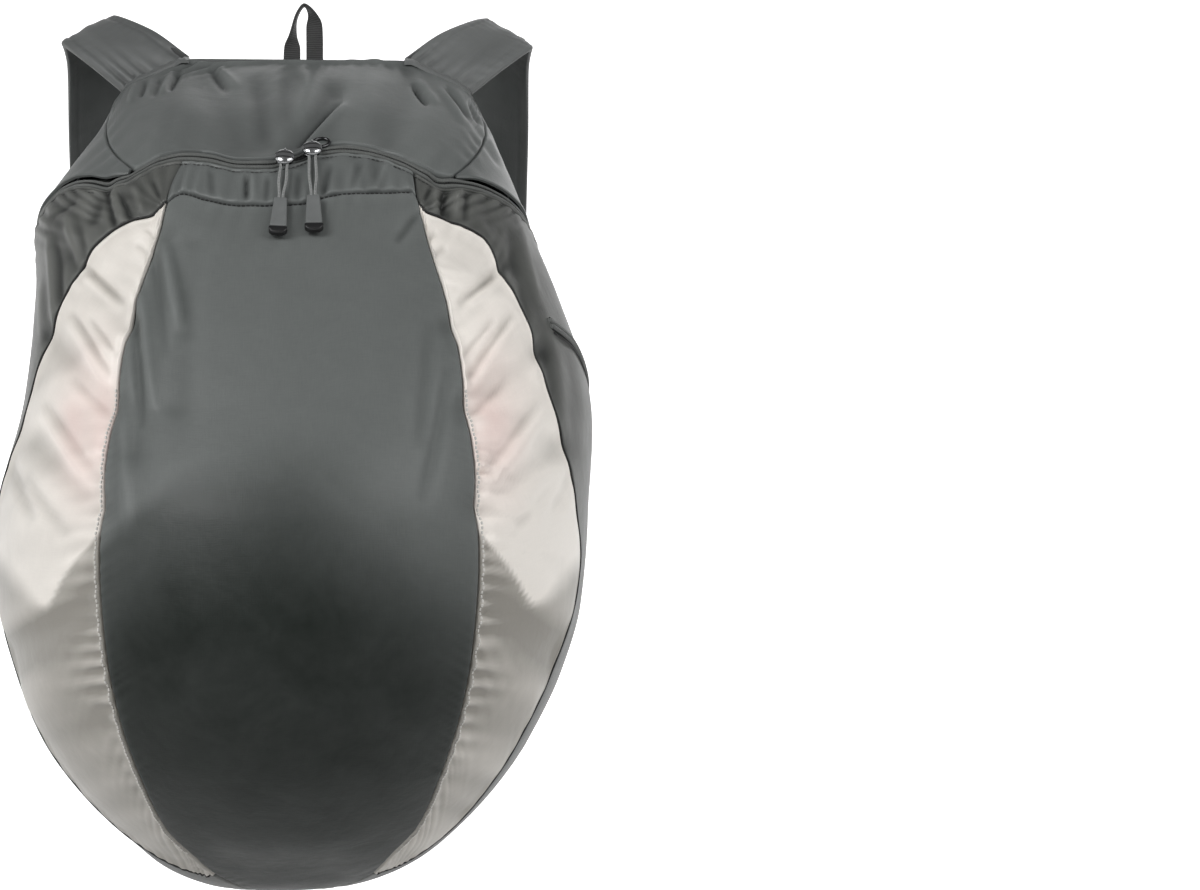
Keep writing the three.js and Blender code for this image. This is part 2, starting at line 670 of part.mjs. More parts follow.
// The frame of a slider: along the zip, up across it and out of the cloth, with its middle.
function sliderFrame(side) {
  const around = SLIDER_AROUND[side];
  const step = 0.01;
  const before = spotOn(around - step, zipDown(around - step));
  const after = spotOn(around + step, zipDown(around + step));
  const out = outward(around, zipDown(around));
  const way = after.sub(before).normalize();
  way.addScaledVector(out, -way.dot(out)).normalize();
  return { around, way, out, up: out.clone().cross(way), middle: spotOn(around, zipDown(around)) };
}

function turnMesh(mesh, x, y, z, at) {
  mesh.position.copy(at);
  mesh.quaternion.setFromRotationMatrix(new THREE.Matrix4().makeBasis(x, y, z));
}

const SLIDER_BASE = SEAM_GAP - COIL_SINK;
const RING_TURN = RING_INSIDE + RING_WIRE;
const BRIDGE_HEIGHT = SLIDER_BASE + SLIDER_PLATE + RING_TURN + RING_WIRE + 2 * SEAM_GAP;

// A slider: a plate with rounded ends over the coil and a bridge that the pull ring goes round.
function slider() {
  const plate = new THREE.Shape();
  const end = SLIDER_LENGTH / 2;
  const side = SLIDER_WIDTH / 2;
  const noseSide = side * 0.7;
  const tailSide = side * 0.5;
  plate.moveTo(-end + SLIDER_NOSE, -noseSide);
  plate.quadraticCurveTo(-end, 0, -end + SLIDER_NOSE, noseSide);
  plate.lineTo(end - SLIDER_ROUND, side);
  plate.quadraticCurveTo(end, side, end, tailSide);
  plate.lineTo(end, -tailSide);
  plate.quadraticCurveTo(end, -side, end - SLIDER_ROUND, -side);
  const plateOptions = { depth: SLIDER_PLATE, bevelEnabled: false, curveSegments: 4 };
  const base = new THREE.ExtrudeGeometry(plate, plateOptions).translate(0, 0, SLIDER_BASE);
  const arch = new THREE.Shape();
  const foot = BRIDGE_SPAN / 2;
  const bottom = SLIDER_BASE + SLIDER_PLATE / 2;
  const top = BRIDGE_HEIGHT + BRIDGE_THICK / 2;
  const under = BRIDGE_HEIGHT - BRIDGE_THICK / 2;
  const inside = foot - BRIDGE_THICK;
  arch.moveTo(-foot, bottom);
  arch.lineTo(-inside, bottom);
  arch.lineTo(-inside, under - BRIDGE_INNER_ROUND);
  arch.quadraticCurveTo(-inside, under, -inside + BRIDGE_INNER_ROUND, under);
  arch.lineTo(inside - BRIDGE_INNER_ROUND, under);
  arch.quadraticCurveTo(inside, under, inside, under - BRIDGE_INNER_ROUND);
  arch.lineTo(inside, bottom);
  arch.lineTo(foot, bottom);
  arch.lineTo(foot, top - BRIDGE_OUTER_ROUND);
  arch.quadraticCurveTo(foot, top, foot - BRIDGE_OUTER_ROUND, top);
  arch.lineTo(-foot + BRIDGE_OUTER_ROUND, top);
  arch.quadraticCurveTo(-foot, top, -foot, top - BRIDGE_OUTER_ROUND);
  const archOptions = { depth: BRIDGE_WIDTH, bevelEnabled: false, curveSegments: 3 };
  const bridge = new THREE.ExtrudeGeometry(arch, archOptions);
  bridge.rotateX(Math.PI / 2).translate(0, BRIDGE_WIDTH / 2, 0);
  return toGeometry(toSolid(base).add(toSolid(bridge)));
}

// The pull hangs along -Y from the bridge's axis, which is its own X axis. Z points out of the cloth.
function pullFrame(side) {
  const { around, out, middle } = sliderFrame(side);
  const pivot = middle.clone().addScaledVector(out, BRIDGE_HEIGHT);
  const length = RING_LENGTH + CORD_LENGTH[side] + GRIP_LENGTH;
  const down = zipDown(around, length);
  const lift = GRIP_THICK / 2 + PULL_CLEARANCE;
  const targetAround = aroundAt(pivot.x + PULL_LEAN[side] * length, down);
  const target = smoothPoint(targetAround, down).addScaledVector(outward(targetAround, down), lift);
  const y = pivot.clone().sub(target).normalize();
  const x = new THREE.Vector3(1, 0, 0).addScaledVector(y, -y.x).normalize();
  return { pivot, x, y, z: x.clone().cross(y) };
}

// A closed round tube through the points of a flat loop. across is the direction square to the loop.
function closedTube(points, across, radius, sides) {
  const rings = [];
  const faces = [];
  points.forEach((point, i) => {
    const before = points[(i + points.length - 1) % points.length];
    const after = points[(i + 1) % points.length];
    const off = after.clone().sub(before).normalize().cross(across);
    for (let k = 0; k < sides; k += 1) {
      const angle = (2 * Math.PI * k) / sides;
      const spot = point.clone().addScaledVector(across, radius * Math.cos(angle));
      rings.push(spot.addScaledVector(off, radius * Math.sin(angle)));
      const next = ((i + 1) % points.length) * sides;
      const turn = (k + 1) % sides;
      faces.push([i * sides + k, next + k, next + turn], [i * sides + k, next + turn, i * sides + turn]);
    }
  });
  return closedGeometry(rings, faces);
}

// A wire ring, long and narrow, whose upper turn goes round the bridge.
function pullRing() {
  const steps = 5;
  const points = [];
  for (const [middle, start] of [[0, 0], [-RING_LENGTH, Math.PI]]) {
    for (let i = 0; i <= steps; i += 1) {
      const angle = start + (Math.PI * i) / steps;
      points.push(new THREE.Vector3(0, middle + RING_TURN * Math.sin(angle), RING_TURN * Math.cos(angle)));
    }
  }
  return closedTube(points, new THREE.Vector3(1, 0, 0), RING_WIRE, 6);
}

const CORD_TURN = RING_WIRE + SEAM_GAP + CORD_RADIUS;
const CORD_TOP = -(RING_LENGTH + RING_TURN);

// The cord: two strands from the grip, joined by a turn round the foot of the ring.
function pullCord(side) {
  const low = CORD_TOP - CORD_LENGTH[side];
  const strand = CORD_RADIUS + SEAM_GAP;
  const points = [[-strand, low], [-strand, low + CORD_FOOT], [-CORD_TURN, CORD_TOP - CORD_SHOULDER]];
  for (let i = 0; i <= 4; i += 1) {
    const angle = Math.PI - (Math.PI * i) / 4;
    points.push([CORD_TURN * Math.cos(angle), CORD_TOP + CORD_TURN * Math.sin(angle)]);
  }
  points.push([CORD_TURN, CORD_TOP - CORD_SHOULDER], [strand, low + CORD_FOOT], [strand, low]);
  return tube(points.map(([x, y]) => new THREE.Vector3(x, y, 0)), CORD_RADIUS, 30, 6);
}

// The moulded grip, wider at its end, hangs from the cord's two strands.
function pullGrip(side) {
  const top = CORD_TOP - CORD_LENGTH[side] - SEAM_GAP - GRIP_ROUND;
  const bottom = top + 2 * GRIP_ROUND - GRIP_LENGTH;
  const narrow = GRIP_TOP_WIDTH / 2 - GRIP_ROUND;
  const wide = GRIP_END_WIDTH / 2 - GRIP_ROUND;
  const shape = new THREE.Shape();
  shape.moveTo(-narrow, top);
  shape.lineTo(-wide, bottom + GRIP_CORNER);
  shape.quadraticCurveTo(-wide, bottom, -wide + GRIP_CORNER, bottom);
  shape.lineTo(wide - GRIP_CORNER, bottom);
  shape.quadraticCurveTo(wide, bottom, wide, bottom + GRIP_CORNER);
  shape.lineTo(narrow, top);
  const depth = GRIP_THICK - 2 * GRIP_ROUND;
  const bevel = { bevelThickness: GRIP_ROUND, bevelSize: GRIP_ROUND, bevelSegments: 2 };
  const geometry = new THREE.ExtrudeGeometry(shape, { depth, curveSegments: 3, ...bevel });
  return geometry.translate(0, 0, -depth / 2);
}

function haulLoop() {
  const last = HAUL_LOOP.length - 1;
  const crown = LOOP_RISE * Math.max(...HAUL_LOOP.map((row) => row.up));
  const table = HAUL_LOOP.map((row, i) => ({ ...row, share: i / last }));
  const middle = (share) => {
    const across = HAUL_WEBBING_WIDTH * along(table, 'share', 'across', share);
    const up = LOOP_RISE * along(table, 'share', 'up', share);
    return new THREE.Vector3(across, 0, up + WEBBING_THICK / 2 - crown);
  };
  return sheet(shares(LOOP_STEPS), [0, 0.5, 1], (u, v) => {
    const at = middle(v);
    const way = middle(Math.min(v + 0.01, 1)).sub(middle(Math.max(v - 0.01, 0))).normalize();
    const turn = THREE.MathUtils.degToRad(along(table, 'share', 'turn', v));
    const flat = new THREE.Vector3(way.z, 0, -way.x);
    const across = flat.multiplyScalar(Math.cos(turn)).add(new THREE.Vector3(0, Math.sin(turn), 0));
    const normal = way.clone().cross(across).normalize();
    at.addScaledVector(across, (u - 0.5) * HAUL_WEBBING_WIDTH);
    const half = WEBBING_THICK / 2;
    return { outer: at.clone().addScaledVector(normal, half), inner: at.addScaledVector(normal, -half) };
  });
}

// A point of a strap's edge, at a share of the way from its root to its lower end.
function strapEdge(table, edge, share) {
  const x = -HALF_WIDTH * along(table, 'share', `${edge}Across`, share);
  const y = STRAP_REACH * along(table, 'share', `${edge}Back`, share);
  return new THREE.Vector3(x, y, -BODY_HEIGHT * along(table, 'share', `${edge}Down`, share));
}

function strapTable() {
  const last = STRAP_EDGES.length - 1;
  return STRAP_EDGES.map((row, i) => ({ ...row, share: i / last }));
}

// A padded shoulder strap; the right one is the left one mirrored.
function strap(side) {
  const mirror = side === 'left' ? 1 : -1;
  const table = strapTable();
  const point = (u, v) => {
    const at = strapEdge(table, 'out', v).lerp(strapEdge(table, 'in', v), u);
    return at.setX(at.x * mirror);
  };
  return sheet(shares(STRAP_STEPS), [0, 0.12, 0.5, 0.88, 1], (u, v) => {
    const at = point(u, v);
    const way = point(u, Math.min(v + 0.01, 1)).sub(point(u, Math.max(v - 0.01, 0)));
    const across = point(1, v).sub(point(0, v));
    const normal = way.cross(across).normalize();
    const growth = STRAP_END_SWELL + STRAP_GROWTH * Math.min(v, 1 - v);
    const swell = Math.sqrt(Math.sin(Math.PI * u)) * Math.min(1, growth);
    const half = mix(STRAP_EDGE, STRAP_PAD, swell) / 2;
    return { outer: at.clone().addScaledVector(normal, half), inner: at.addScaledVector(normal, -half) };
  }, 0);
}

// Where the strap ends, which way it runs there, and where the webbing is sewn to the back.
function strapEnd(side) {
  const mirror = side === 'left' ? 1 : -1;
  const table = strapTable();
  const middle = (share) => {
    const at = strapEdge(table, 'out', share).lerp(strapEdge(table, 'in', share), 0.5);
    return at.setX(at.x * mirror);
  };
  const end = middle(1);
  const across = strapEdge(table, 'in', 1).sub(strapEdge(table, 'out', 1)).normalize();
  across.x *= mirror;
  const way = end.clone().sub(middle(0.95));
  way.addScaledVector(across, -way.dot(across)).normalize();
  const rim = smoothPoint(side === 'left' ? 0 : 1, ANCHOR_DOWN).x;
  const inset = mirror * (STRAP_WEBBING_WIDTH / 2 + BACK_PAD_FALL / 2);
  const rest = SEAM_GAP + BACK_PAD + 2 * SEAM_GAP + WEBBING_THICK / 2;
  const anchor = new THREE.Vector3(rim + inset, rest, -BODY_HEIGHT * ANCHOR_DOWN);
  return { end, way, anchor };
}

// A ladder adjuster: a plate with two slots and three bars.
function adjuster() {
  const shape = new THREE.Shape();
  const side = ADJUSTER_WIDTH / 2;
  const top = ADJUSTER_HEIGHT / 2;
  const corner = ADJUSTER_CORNER;
  shape.moveTo(-side + corner, -top);
  shape.lineTo(side - corner, -top);
  shape.quadraticCurveTo(side, -top, side, -top + corner);
  shape.lineTo(side, top - corner);
  shape.quadraticCurveTo(side, top, side - corner, top);
  shape.lineTo(-side + corner, top);
  shape.quadraticCurveTo(-side, top, -side, top - corner);
  shape.lineTo(-side, -top + corner);
  shape.quadraticCurveTo(-side, -top, -side + corner, -top);
  for (const middle of [-1, 1]) {
    const slot = new THREE.Path();
    const low = (middle * (ADJUSTER_BAR + ADJUSTER_SLOT)) / 2 - ADJUSTER_SLOT / 2;
    const reach = side - ADJUSTER_BAR;
    slot.moveTo(-reach, low);
    slot.lineTo(-reach, low + ADJUSTER_SLOT);
    slot.lineTo(reach, low + ADJUSTER_SLOT);
    slot.lineTo(reach, low);
    slot.closePath();
    shape.holes.push(slot);
  }
  const options = { depth: ADJUSTER_THICK, bevelEnabled: false, curveSegments: 3 };
  return new THREE.ExtrudeGeometry(shape, options).translate(0, 0, -ADJUSTER_THICK / 2);
}

function adjusterMiddle(side) {
  const { end, way } = strapEnd(side);
  return end.clone().addScaledVector(way, ADJUSTER_HEIGHT / 2 + SEAM_GAP);
}

// The webbing runs from the adjuster down to the back's lower corner and lies flat where it is sewn.
function strapWebbing(side) {
  const { way, anchor } = strapEnd(side);
  const start = adjusterMiddle(side).addScaledVector(way, ADJUSTER_HEIGHT / 2 + SEAM_GAP);
  const path = new THREE.CatmullRomCurve3([
    start,
    start.clone().addScaledVector(way, WEBBING_DROP),
    anchor.clone().add(new THREE.Vector3(0, WEBBING_LIFT, STRAP_WEBBING_WIDTH)),
    anchor.clone().add(new THREE.Vector3(0, SEAM_GAP, STRAP_WEBBING_WIDTH * 0.6)),
    anchor,
  ], false, 'centripetal');
  return sheet(shares(STRIP_STEPS), [0, 1], (u, v) => {
    const at = path.getPoint(v);
    const tangent = path.getTangent(v);
    const across = new THREE.Vector3(1, 0, 0).addScaledVector(tangent, -tangent.x).normalize();
    const normal = tangent.cross(across).normalize();
    at.addScaledVector(across, (u - 0.5) * STRAP_WEBBING_WIDTH);
    const half = WEBBING_THICK / 2;
    return { outer: at.clone().addScaledVector(normal, half), inner: at.addScaledVector(normal, -half) };
  }, 0);
}

function sidePocketZip() {
  const last = POCKET_ZIP.length - 1;
  const table = POCKET_ZIP.map((row, i) => ({ ...row, share: i / last }));
  return sheet(shares(STRIP_STEPS), [0, 1], (u, v) => {
    const around = along(table, 'share', 'around', v);
    const middle = along(table, 'share', 'down', v);
    const down = middle + downStep(around, middle, (u - 0.5) * POCKET_ZIP_WIDTH);
    return stripSpot(around, down, SEAM_GAP + POCKET_ZIP_LIFT + POCKET_ZIP_THICK, POCKET_ZIP_THICK);
  });
}

function addBody(bag) {
  const nylon = material(CHARCOAL, 0.55);
  const darkNylon = material(CHARCOAL_DARK, 0.6);
  const reflective = material(LIGHT_GREY, 0.5);
  place(bag, 'front_panel', frontPanel(), nylon);
  place(bag, 'front_band', frontBand(), nylon.clone());
  place(bag, 'top_panel', topPanel(), nylon.clone());
  place(bag, 'back_panel', backPanel(), darkNylon);
  place(bag, 'edge_piping', edgePiping(), darkNylon.clone());
  for (const side of ['left', 'right']) {
    place(bag, `reflective_panel_${side}`, crescent(side), reflective.clone());
    place(bag, `side_panel_${side}`, sidePanel(side), nylon.clone());
    place(bag, `top_gusset_${side}`, topGusset(side), nylon.clone());
  }
}

function addZip(bag) {
  place(bag, 'zip_coil', zipCoil(), material(COIL_BLACK, 0.4));
  place(bag, 'zip_tape_upper', zipTape(-1), material(CHARCOAL_DARK, 0.8));
  place(bag, 'zip_tape_lower', zipTape(1), material(CHARCOAL_DARK, 0.8));
  place(bag, 'side_pocket_zip', sidePocketZip(), material(CHARCOAL_DARK, 0.7));
  for (const side of ['left', 'right']) {
    const { way, up, out, middle } = sliderFrame(side);
    const body = place(bag, `slider_${side}`, slider(), material(GUNMETAL, 0.25, 1));
    turnMesh(body, way, up, out, middle);
    const { pivot, x, y, z } = pullFrame(side);
    const pieces = [
      place(bag, `pull_ring_${side}`, pullRing(), material(RING_STEEL, 0.2, 1)),
      place(bag, `pull_cord_${side}`, pullCord(side), material(CHARCOAL, 0.8)),
      place(bag, `pull_grip_${side}`, pullGrip(side), material(GRIP_GREY, 0.5)),
    ];
    for (const piece of pieces) turnMesh(piece, x, y, z, pivot);
  }
}

function addStraps(bag) {
  for (const side of ['left', 'right']) {
    place(bag, `strap_${side}`, strap(side), material(CHARCOAL, 0.7));
    place(bag, `strap_webbing_${side}`, strapWebbing(side), material(CHARCOAL_DARK, 0.8));
    const up = strapEnd(side).way.negate();
    const across = new THREE.Vector3(1, 0, 0).addScaledVector(up, -up.x).normalize();
    const lock = place(bag, `strap_adjuster_${side}`, adjuster(), material(ADJUSTER_BLACK, 0.45));
    turnMesh(lock, across, up, across.clone().cross(up), adjusterMiddle(side));
  }
}

function helmetBag() {
  const group = new THREE.Group();
  const bag = new THREE.Group();
  bag.position.set(-LOOP_ACROSS, -BACK_SETBACK, -LOOP_RISE);
  group.add(bag);
  addBody(bag);
  addZip(bag);
  addStraps(bag);
  place(group, 'haul_loop', haulLoop(), material(WEBBING_GREY, 0.85));
  return group;
}

export default helmetBag();
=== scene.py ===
# Looks of the motorcycle helmet bag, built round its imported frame.
# Metres, +Z up. The front dome faces -Y and the shoulder straps are at +Y.
import math
import bpy
import numpy as np
from mathutils import Matrix, Vector


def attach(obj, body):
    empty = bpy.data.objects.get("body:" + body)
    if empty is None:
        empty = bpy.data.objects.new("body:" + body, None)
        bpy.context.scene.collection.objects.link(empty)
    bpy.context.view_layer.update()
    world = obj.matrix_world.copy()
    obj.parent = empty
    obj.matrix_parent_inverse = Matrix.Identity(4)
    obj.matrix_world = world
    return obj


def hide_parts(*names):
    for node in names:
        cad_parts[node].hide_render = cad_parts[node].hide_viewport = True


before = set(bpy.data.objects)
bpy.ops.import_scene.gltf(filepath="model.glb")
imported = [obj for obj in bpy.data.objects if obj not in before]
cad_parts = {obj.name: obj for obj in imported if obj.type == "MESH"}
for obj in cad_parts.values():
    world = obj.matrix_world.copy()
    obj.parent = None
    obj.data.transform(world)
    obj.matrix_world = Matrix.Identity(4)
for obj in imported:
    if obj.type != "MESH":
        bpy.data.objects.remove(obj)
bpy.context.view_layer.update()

MM = 0.001

# Main sizes, as in the frame
BODY_HEIGHT = 490 * MM
HALF_WIDTH = 170 * MM
BODY_DEPTH = 250 * MM
LOOP_RISE = 34 * MM
BACK_SETBACK = 5.6 * MM
LOOP_ACROSS = 4.2 * MM
BODY_SHIFT = np.array([-LOOP_ACROSS, -BACK_SETBACK, -LOOP_RISE])
CLOTH = 1.5 * MM
SEAM_GAP = 0.3 * MM
BACK_PAD = 10 * MM
BACK_PAD_EDGE = 4 * MM
BACK_PAD_FALL = 28 * MM
PIPING_RADIUS = 2 * MM
WEBBING_THICK = 1.5 * MM
HAUL_WEBBING_WIDTH = 10 * MM

# Zip, sliders and pulls
ZIP_OPENING = 7.6 * MM
COIL_PITCH = 1.4 * MM
COIL_WIDTH = 2.4 * MM
COIL_THICK = 1.1 * MM
COIL_SINK = 1.5 * MM
TAPE_THICK = 0.5 * MM
SLIDER_AROUND = {"left": 0.4995, "right": 0.516}
SLIDER_PLATE = 1.2 * MM
SLIDER_LENGTH = 10 * MM
SLIDER_WIDTH = 7 * MM
BRIDGE_WIDTH = 1.9 * MM
BRIDGE_THICK = 1.2 * MM
BRIDGE_SPAN = 8 * MM
RING_WIRE = 0.65 * MM
RING_INSIDE = 2.1 * MM
RING_LENGTH = 4.5 * MM
CORD_RADIUS = 0.8 * MM
CORD_LENGTH = {"left": 27 * MM, "right": 32 * MM}
GRIP_LENGTH = 26 * MM
GRIP_TOP_WIDTH = 7 * MM
GRIP_END_WIDTH = 10 * MM
GRIP_THICK = 4.4 * MM
GRIP_CAP = 4.6 * MM
PULL_CLEARANCE = 2.2 * MM
PULL_LEAN = {"left": -0.05, "right": 0.02}
SLIDER_LOW = SEAM_GAP - 0.8 * MM
BRIDGE_HEIGHT = SLIDER_LOW + SLIDER_PLATE + RING_INSIDE + 2 * RING_WIRE + 2 * SEAM_GAP
HEAD_HALF = (5.6, 5.3, 2.5)
HEAD_PLACE = (0, -3.2 * MM, 1.2 * MM)
HEAD_LINES = (-1.7 * MM, -4.9 * MM)
HEAD_LINE_HALF = 0.35 * MM
LOCK_LOOP_HALF = (4.8 * MM, 3.7 * MM)
LOCK_LOOP_WIRE = 0.95 * MM
LOCK_LOOP_PLACE = (8.4 * MM, 4.6 * MM, 0.6 * MM)
LOCK_LOOP_TURN = math.radians(-12)

# Shoulder straps and the pocket zip
STRAP_REACH = 104 * MM
STRAP_PAD = 7 * MM
STRAP_EDGE = 3 * MM
STRAP_WEBBING_WIDTH = 25 * MM
ADJUSTER_HEIGHT = 24 * MM

# The step that a slope is measured over, both ends of the long lines, and how far the zip's hem
# lies from the edge, in millimetres
STEP = 0.002
LINE_ENDS = (0.004, 0.996)
HEM = 3.4

# How deep and how far the cloth's edges roll into the seams, and the stitches
ROLL_DEPTH = 2.2 * MM
ROLL_REACH = 1.2 * MM
STITCH_PITCH = 2.6 * MM
STITCH_RADIUS = 0.22 * MM
BOLD_STITCH_RADIUS = 0.42 * MM

SIDES = ("left", "right")
FLIP = {"left": np.array([1, 1, 1]), "right": np.array([-1, 1, 1])}
BACK_EDGE = {"left": 0.0, "right": 1.0}
# Painted light: each crescent's lit tone above and shaded tone below; the two sides differ only to match how
# the light falls on them
CRESCENT_PAINTED_LIGHT_TONES = {"left": (0.74, 0.05), "right": (0.98, 0.1)}
# The side panels' tones, with painted light: left and right differ only to match how the light falls
SIDE_TONE_WITH_PAINTED_LIGHT = {"left": 0.68, "right": 0.53}
# The straps' tones, with painted light: left and right differ only to match how the light falls
STRAP_TONE_WITH_PAINTED_LIGHT = {"left": 0.72, "right": 0.98}

# down, half, shift, front, belly, square: level sections of the body
SECTIONS = [
    (0.0, 0.4, 0.0, 0.008, 0.1, 2.0),
    (0.012, 0.47, 0.0, 0.07, 0.1, 2.2),
    (0.034, 0.59, 0.0, 0.17, 0.12, 2.4),
    (0.08, 0.66, 0.0, 0.345, 0.14, 2.6),
    (0.138, 0.75, -0.02, 0.49, 0.16, 2.6),
    (0.19, 0.83, -0.04, 0.575, 0.18, 2.5),
    (0.286, 0.89, 0.01, 0.715, 0.2, 2.3),
    (0.408, 0.96, 0.045, 0.865, 0.2, 2.2),
    (0.55, 1.0, 0.0, 0.985, 0.2, 2.1),
    (0.65, 0.98, -0.005, 1.0, 0.2, 2.1),
    (0.73, 0.92, -0.01, 0.96, 0.2, 2.1),
    (0.811, 0.82, -0.02, 0.86, 0.2, 2.1),
    (0.863, 0.72, -0.02, 0.755, 0.2, 2.1),
    (0.931, 0.54, -0.02, 0.555, 0.2, 2.1),
    (0.965, 0.42, -0.03, 0.41, 0.2, 2.1),
    (0.989, 0.27, -0.04, 0.24, 0.2, 2.1),
    (1.0, 0.17, -0.05, 0.008, 0.1, 2.0),
]

# down, across: seam between the front panel and each crescent
INNER_SEAM = [
    (0.19, 0.41), (0.235, 0.444), (0.294, 0.494), (0.351, 0.534), (0.43, 0.562),
    (0.487, 0.584), (0.59, 0.597), (0.69, 0.577), (0.766, 0.539), (0.837, 0.479),
    (0.899, 0.411), (0.934, 0.33), (0.965, 0.26), (0.99, 0.14), (1.0, 0.07),
]

# down, left, right: seam between each crescent and its side panel, as shares of the way to the inner seam
OUTER_SEAM = [
    (0.19, 1, 1), (0.2, 0.982, 0.978), (0.2055, 0.97, 0.91), (0.211, 0.905, 0.865),
    (0.23, 0.81, 0.753), (0.258, 0.725, 0.728), (0.295, 0.665, 0.708), (0.339, 0.587, 0.686),
    (0.39, 0.52, 0.683), (0.438, 0.467, 0.641), (0.488, 0.415, 0.577), (0.549, 0.365, 0.515),
    (0.6, 0.338, 0.46), (0.633, 0.334, 0.467), (0.672, 0.35, 0.503), (0.725, 0.364, 0.549),
    (0.862, 0.428, 0.607), (0.913, 0.512, 0.625), (0.941, 0.648, 0.7), (0.958, 0.85, 0.85),
    (0.965, 1, 1),
]

# around, down: middle of the main zip
ZIP_LINE = [
    (0, 0.25), (0.06, 0.22), (0.095, 0.2), (0.13, 0.185), (0.163, 0.168), (0.217, 0.162),
    (0.269, 0.163), (0.315, 0.16), (0.333, 0.151), (0.357, 0.139), (0.391, 0.134),
    (0.426, 0.136), (0.464, 0.143), (0.491, 0.144), (0.503, 0.138), (0.521, 0.128),
    (0.55, 0.124), (0.581, 0.126), (0.623, 0.138), (0.657, 0.152), (0.699, 0.161),
    (0.748, 0.164), (0.807, 0.173), (0.875, 0.19), (0.94, 0.215), (1, 0.25),
]

# share, down: seam under the gathered band
BAND_SEAM = [
    (0, 0.19), (0.066, 0.179), (0.154, 0.186), (0.293, 0.193), (0.405, 0.193), (0.534, 0.191),
    (0.612, 0.184), (0.724, 0.178), (0.846, 0.177), (0.975, 0.175), (1, 0.19),
]
GUSSET_TOP_DOWN = 0.045
GUSSET_ZIP_AROUND = {"left": 0.324, "right": 0.706}
SHOULDER_SHARE = 0.14
SEAM_TOP = INNER_SEAM[0][0]
SEAM_BOTTOM = OUTER_SEAM[-1][0]
SIDE_CORNER = 0.4

# Main folds of the frame: from (across, down) to (across, down), wide and deep as shares of the depth
MAIN_FOLDS = [
    (-0.01, 0.118, 0.13, 0.05, 0.028, 0.012),
    (-0.3, 0.03, -0.18, 0.115, 0.05, 0.012),
    (0.42, 0.045, 0.3, 0.105, 0.05, 0.01),
    (-0.62, 0.165, -0.66, 0.205, 0.022, 0.014),
    (0.48, 0.16, 0.52, 0.2, 0.022, 0.014),
    (-0.42, 0.22, -0.49, 0.47, 0.03, 0.008),
    (-0.33, 0.24, -0.36, 0.42, 0.03, 0.006),
    (-0.52, 0.33, -0.72, 0.25, 0.03, 0.012),
    (-0.57, 0.42, -0.8, 0.34, 0.034, 0.012),
    (-0.6, 0.53, -0.84, 0.46, 0.036, 0.012),
    (0.52, 0.33, 0.7, 0.26, 0.03, 0.012),
    (0.57, 0.42, 0.8, 0.36, 0.034, 0.012),
    (0.6, 0.53, 0.86, 0.47, 0.036, 0.012),
    (-0.2, 0.95, 0.12, 0.955, 0.05, 0.012),
]

# Small folds on top of the main ones: from (across, down) to (across, down), wide and deep in millimetres.
# A negative depth is a ridge.
TOP_CREASES = [
    (0.015, 0.119, 0.14, 0.062, 1.4, 1.6),
    (0.03, 0.12, 0.16, 0.068, 2.6, -0.9),
    (-0.43, 0.042, -0.405, 0.012, 1.6, 1.3),
    (-0.455, 0.045, -0.43, 0.014, 2.0, -0.9),
    (-0.53, 0.05, -0.52, 0.026, 1.5, 1.2),
    (-0.565, 0.056, -0.55, 0.03, 2.0, -0.9),
    (-0.485, 0.05, -0.47, 0.022, 2.0, 0.9),
    (-0.296, 0.007, -0.234, 0.04, 2.0, 1.1),
    (-0.27, 0.006, -0.2, 0.035, 2.4, -0.7),
    (-0.137, 0.03, -0.086, 0.126, 7.0, 1.6),
    (-0.02, 0.02, -0.03, 0.1, 6.0, 0.9),
    (0.06, 0.02, 0.02, 0.09, 5.0, -0.8),
    (0.405, 0.03, 0.45, 0.058, 1.4, 1.7),
    (0.43, 0.026, 0.48, 0.056, 2.4, -0.9),
    (0.52, 0.034, 0.6, 0.075, 2.2, 1.3),
    (0.5, 0.036, 0.57, 0.08, 2.6, -0.8),
    (0.6, 0.05, 0.63, 0.08, 1.8, 1.0),
]
GUSSET_CREASES = [
    (0.62, 0.085, 0.66, 0.1, 1.5, 1.2),
    (0.62, 0.1, 0.69, 0.135, 1.8, 0.9),
    (0.64, 0.092, 0.71, 0.13, 2.0, -0.7),
    (-0.6, 0.07, -0.56, 0.105, 1.8, 0.9),
    (-0.63, 0.085, -0.6, 0.125, 2.2, -0.6),
]
SIDE_CREASES = [
    (-0.62, 0.172, -0.577, 0.218, 1.8, 1.7),
    (-0.59, 0.172, -0.555, 0.212, 2.6, -1.5),
    (-0.571, 0.178, -0.517, 0.213, 1.8, 1.5),
    (-0.52, 0.17, -0.49, 0.2, 2.4, -1.1),
    (-0.459, 0.164, -0.432, 0.184, 1.5, 0.9),
    (-0.746, 0.205, -0.7, 0.26, 3.0, -1.6),
    (-0.72, 0.2, -0.68, 0.25, 3.0, 1.1),
    (-0.811, 0.225, -0.775, 0.33, 2.8, -1.7),
    (-0.79, 0.23, -0.75, 0.32, 3.0, 1.4),
    (-0.801, 0.2, -0.716, 0.182, 2.2, 1.2),
    (-0.84, 0.28, -0.83, 0.36, 3.2, -1.2),
    (0.455, 0.168, 0.43, 0.186, 1.6, 1.6),
    (0.48, 0.17, 0.46, 0.196, 2.4, -1.6),
    (0.51, 0.17, 0.492, 0.2, 1.6, 1.7),
    (0.545, 0.172, 0.53, 0.204, 2.4, -1.4),
    (0.575, 0.176, 0.565, 0.206, 1.8, 1.2),
    (0.76, 0.21, 0.81, 0.3, 3.0, -1.0),
    (0.72, 0.22, 0.77, 0.33, 3.4, 1.1),
    (0.83, 0.36, 0.86, 0.47, 3.2, 0.9),
]
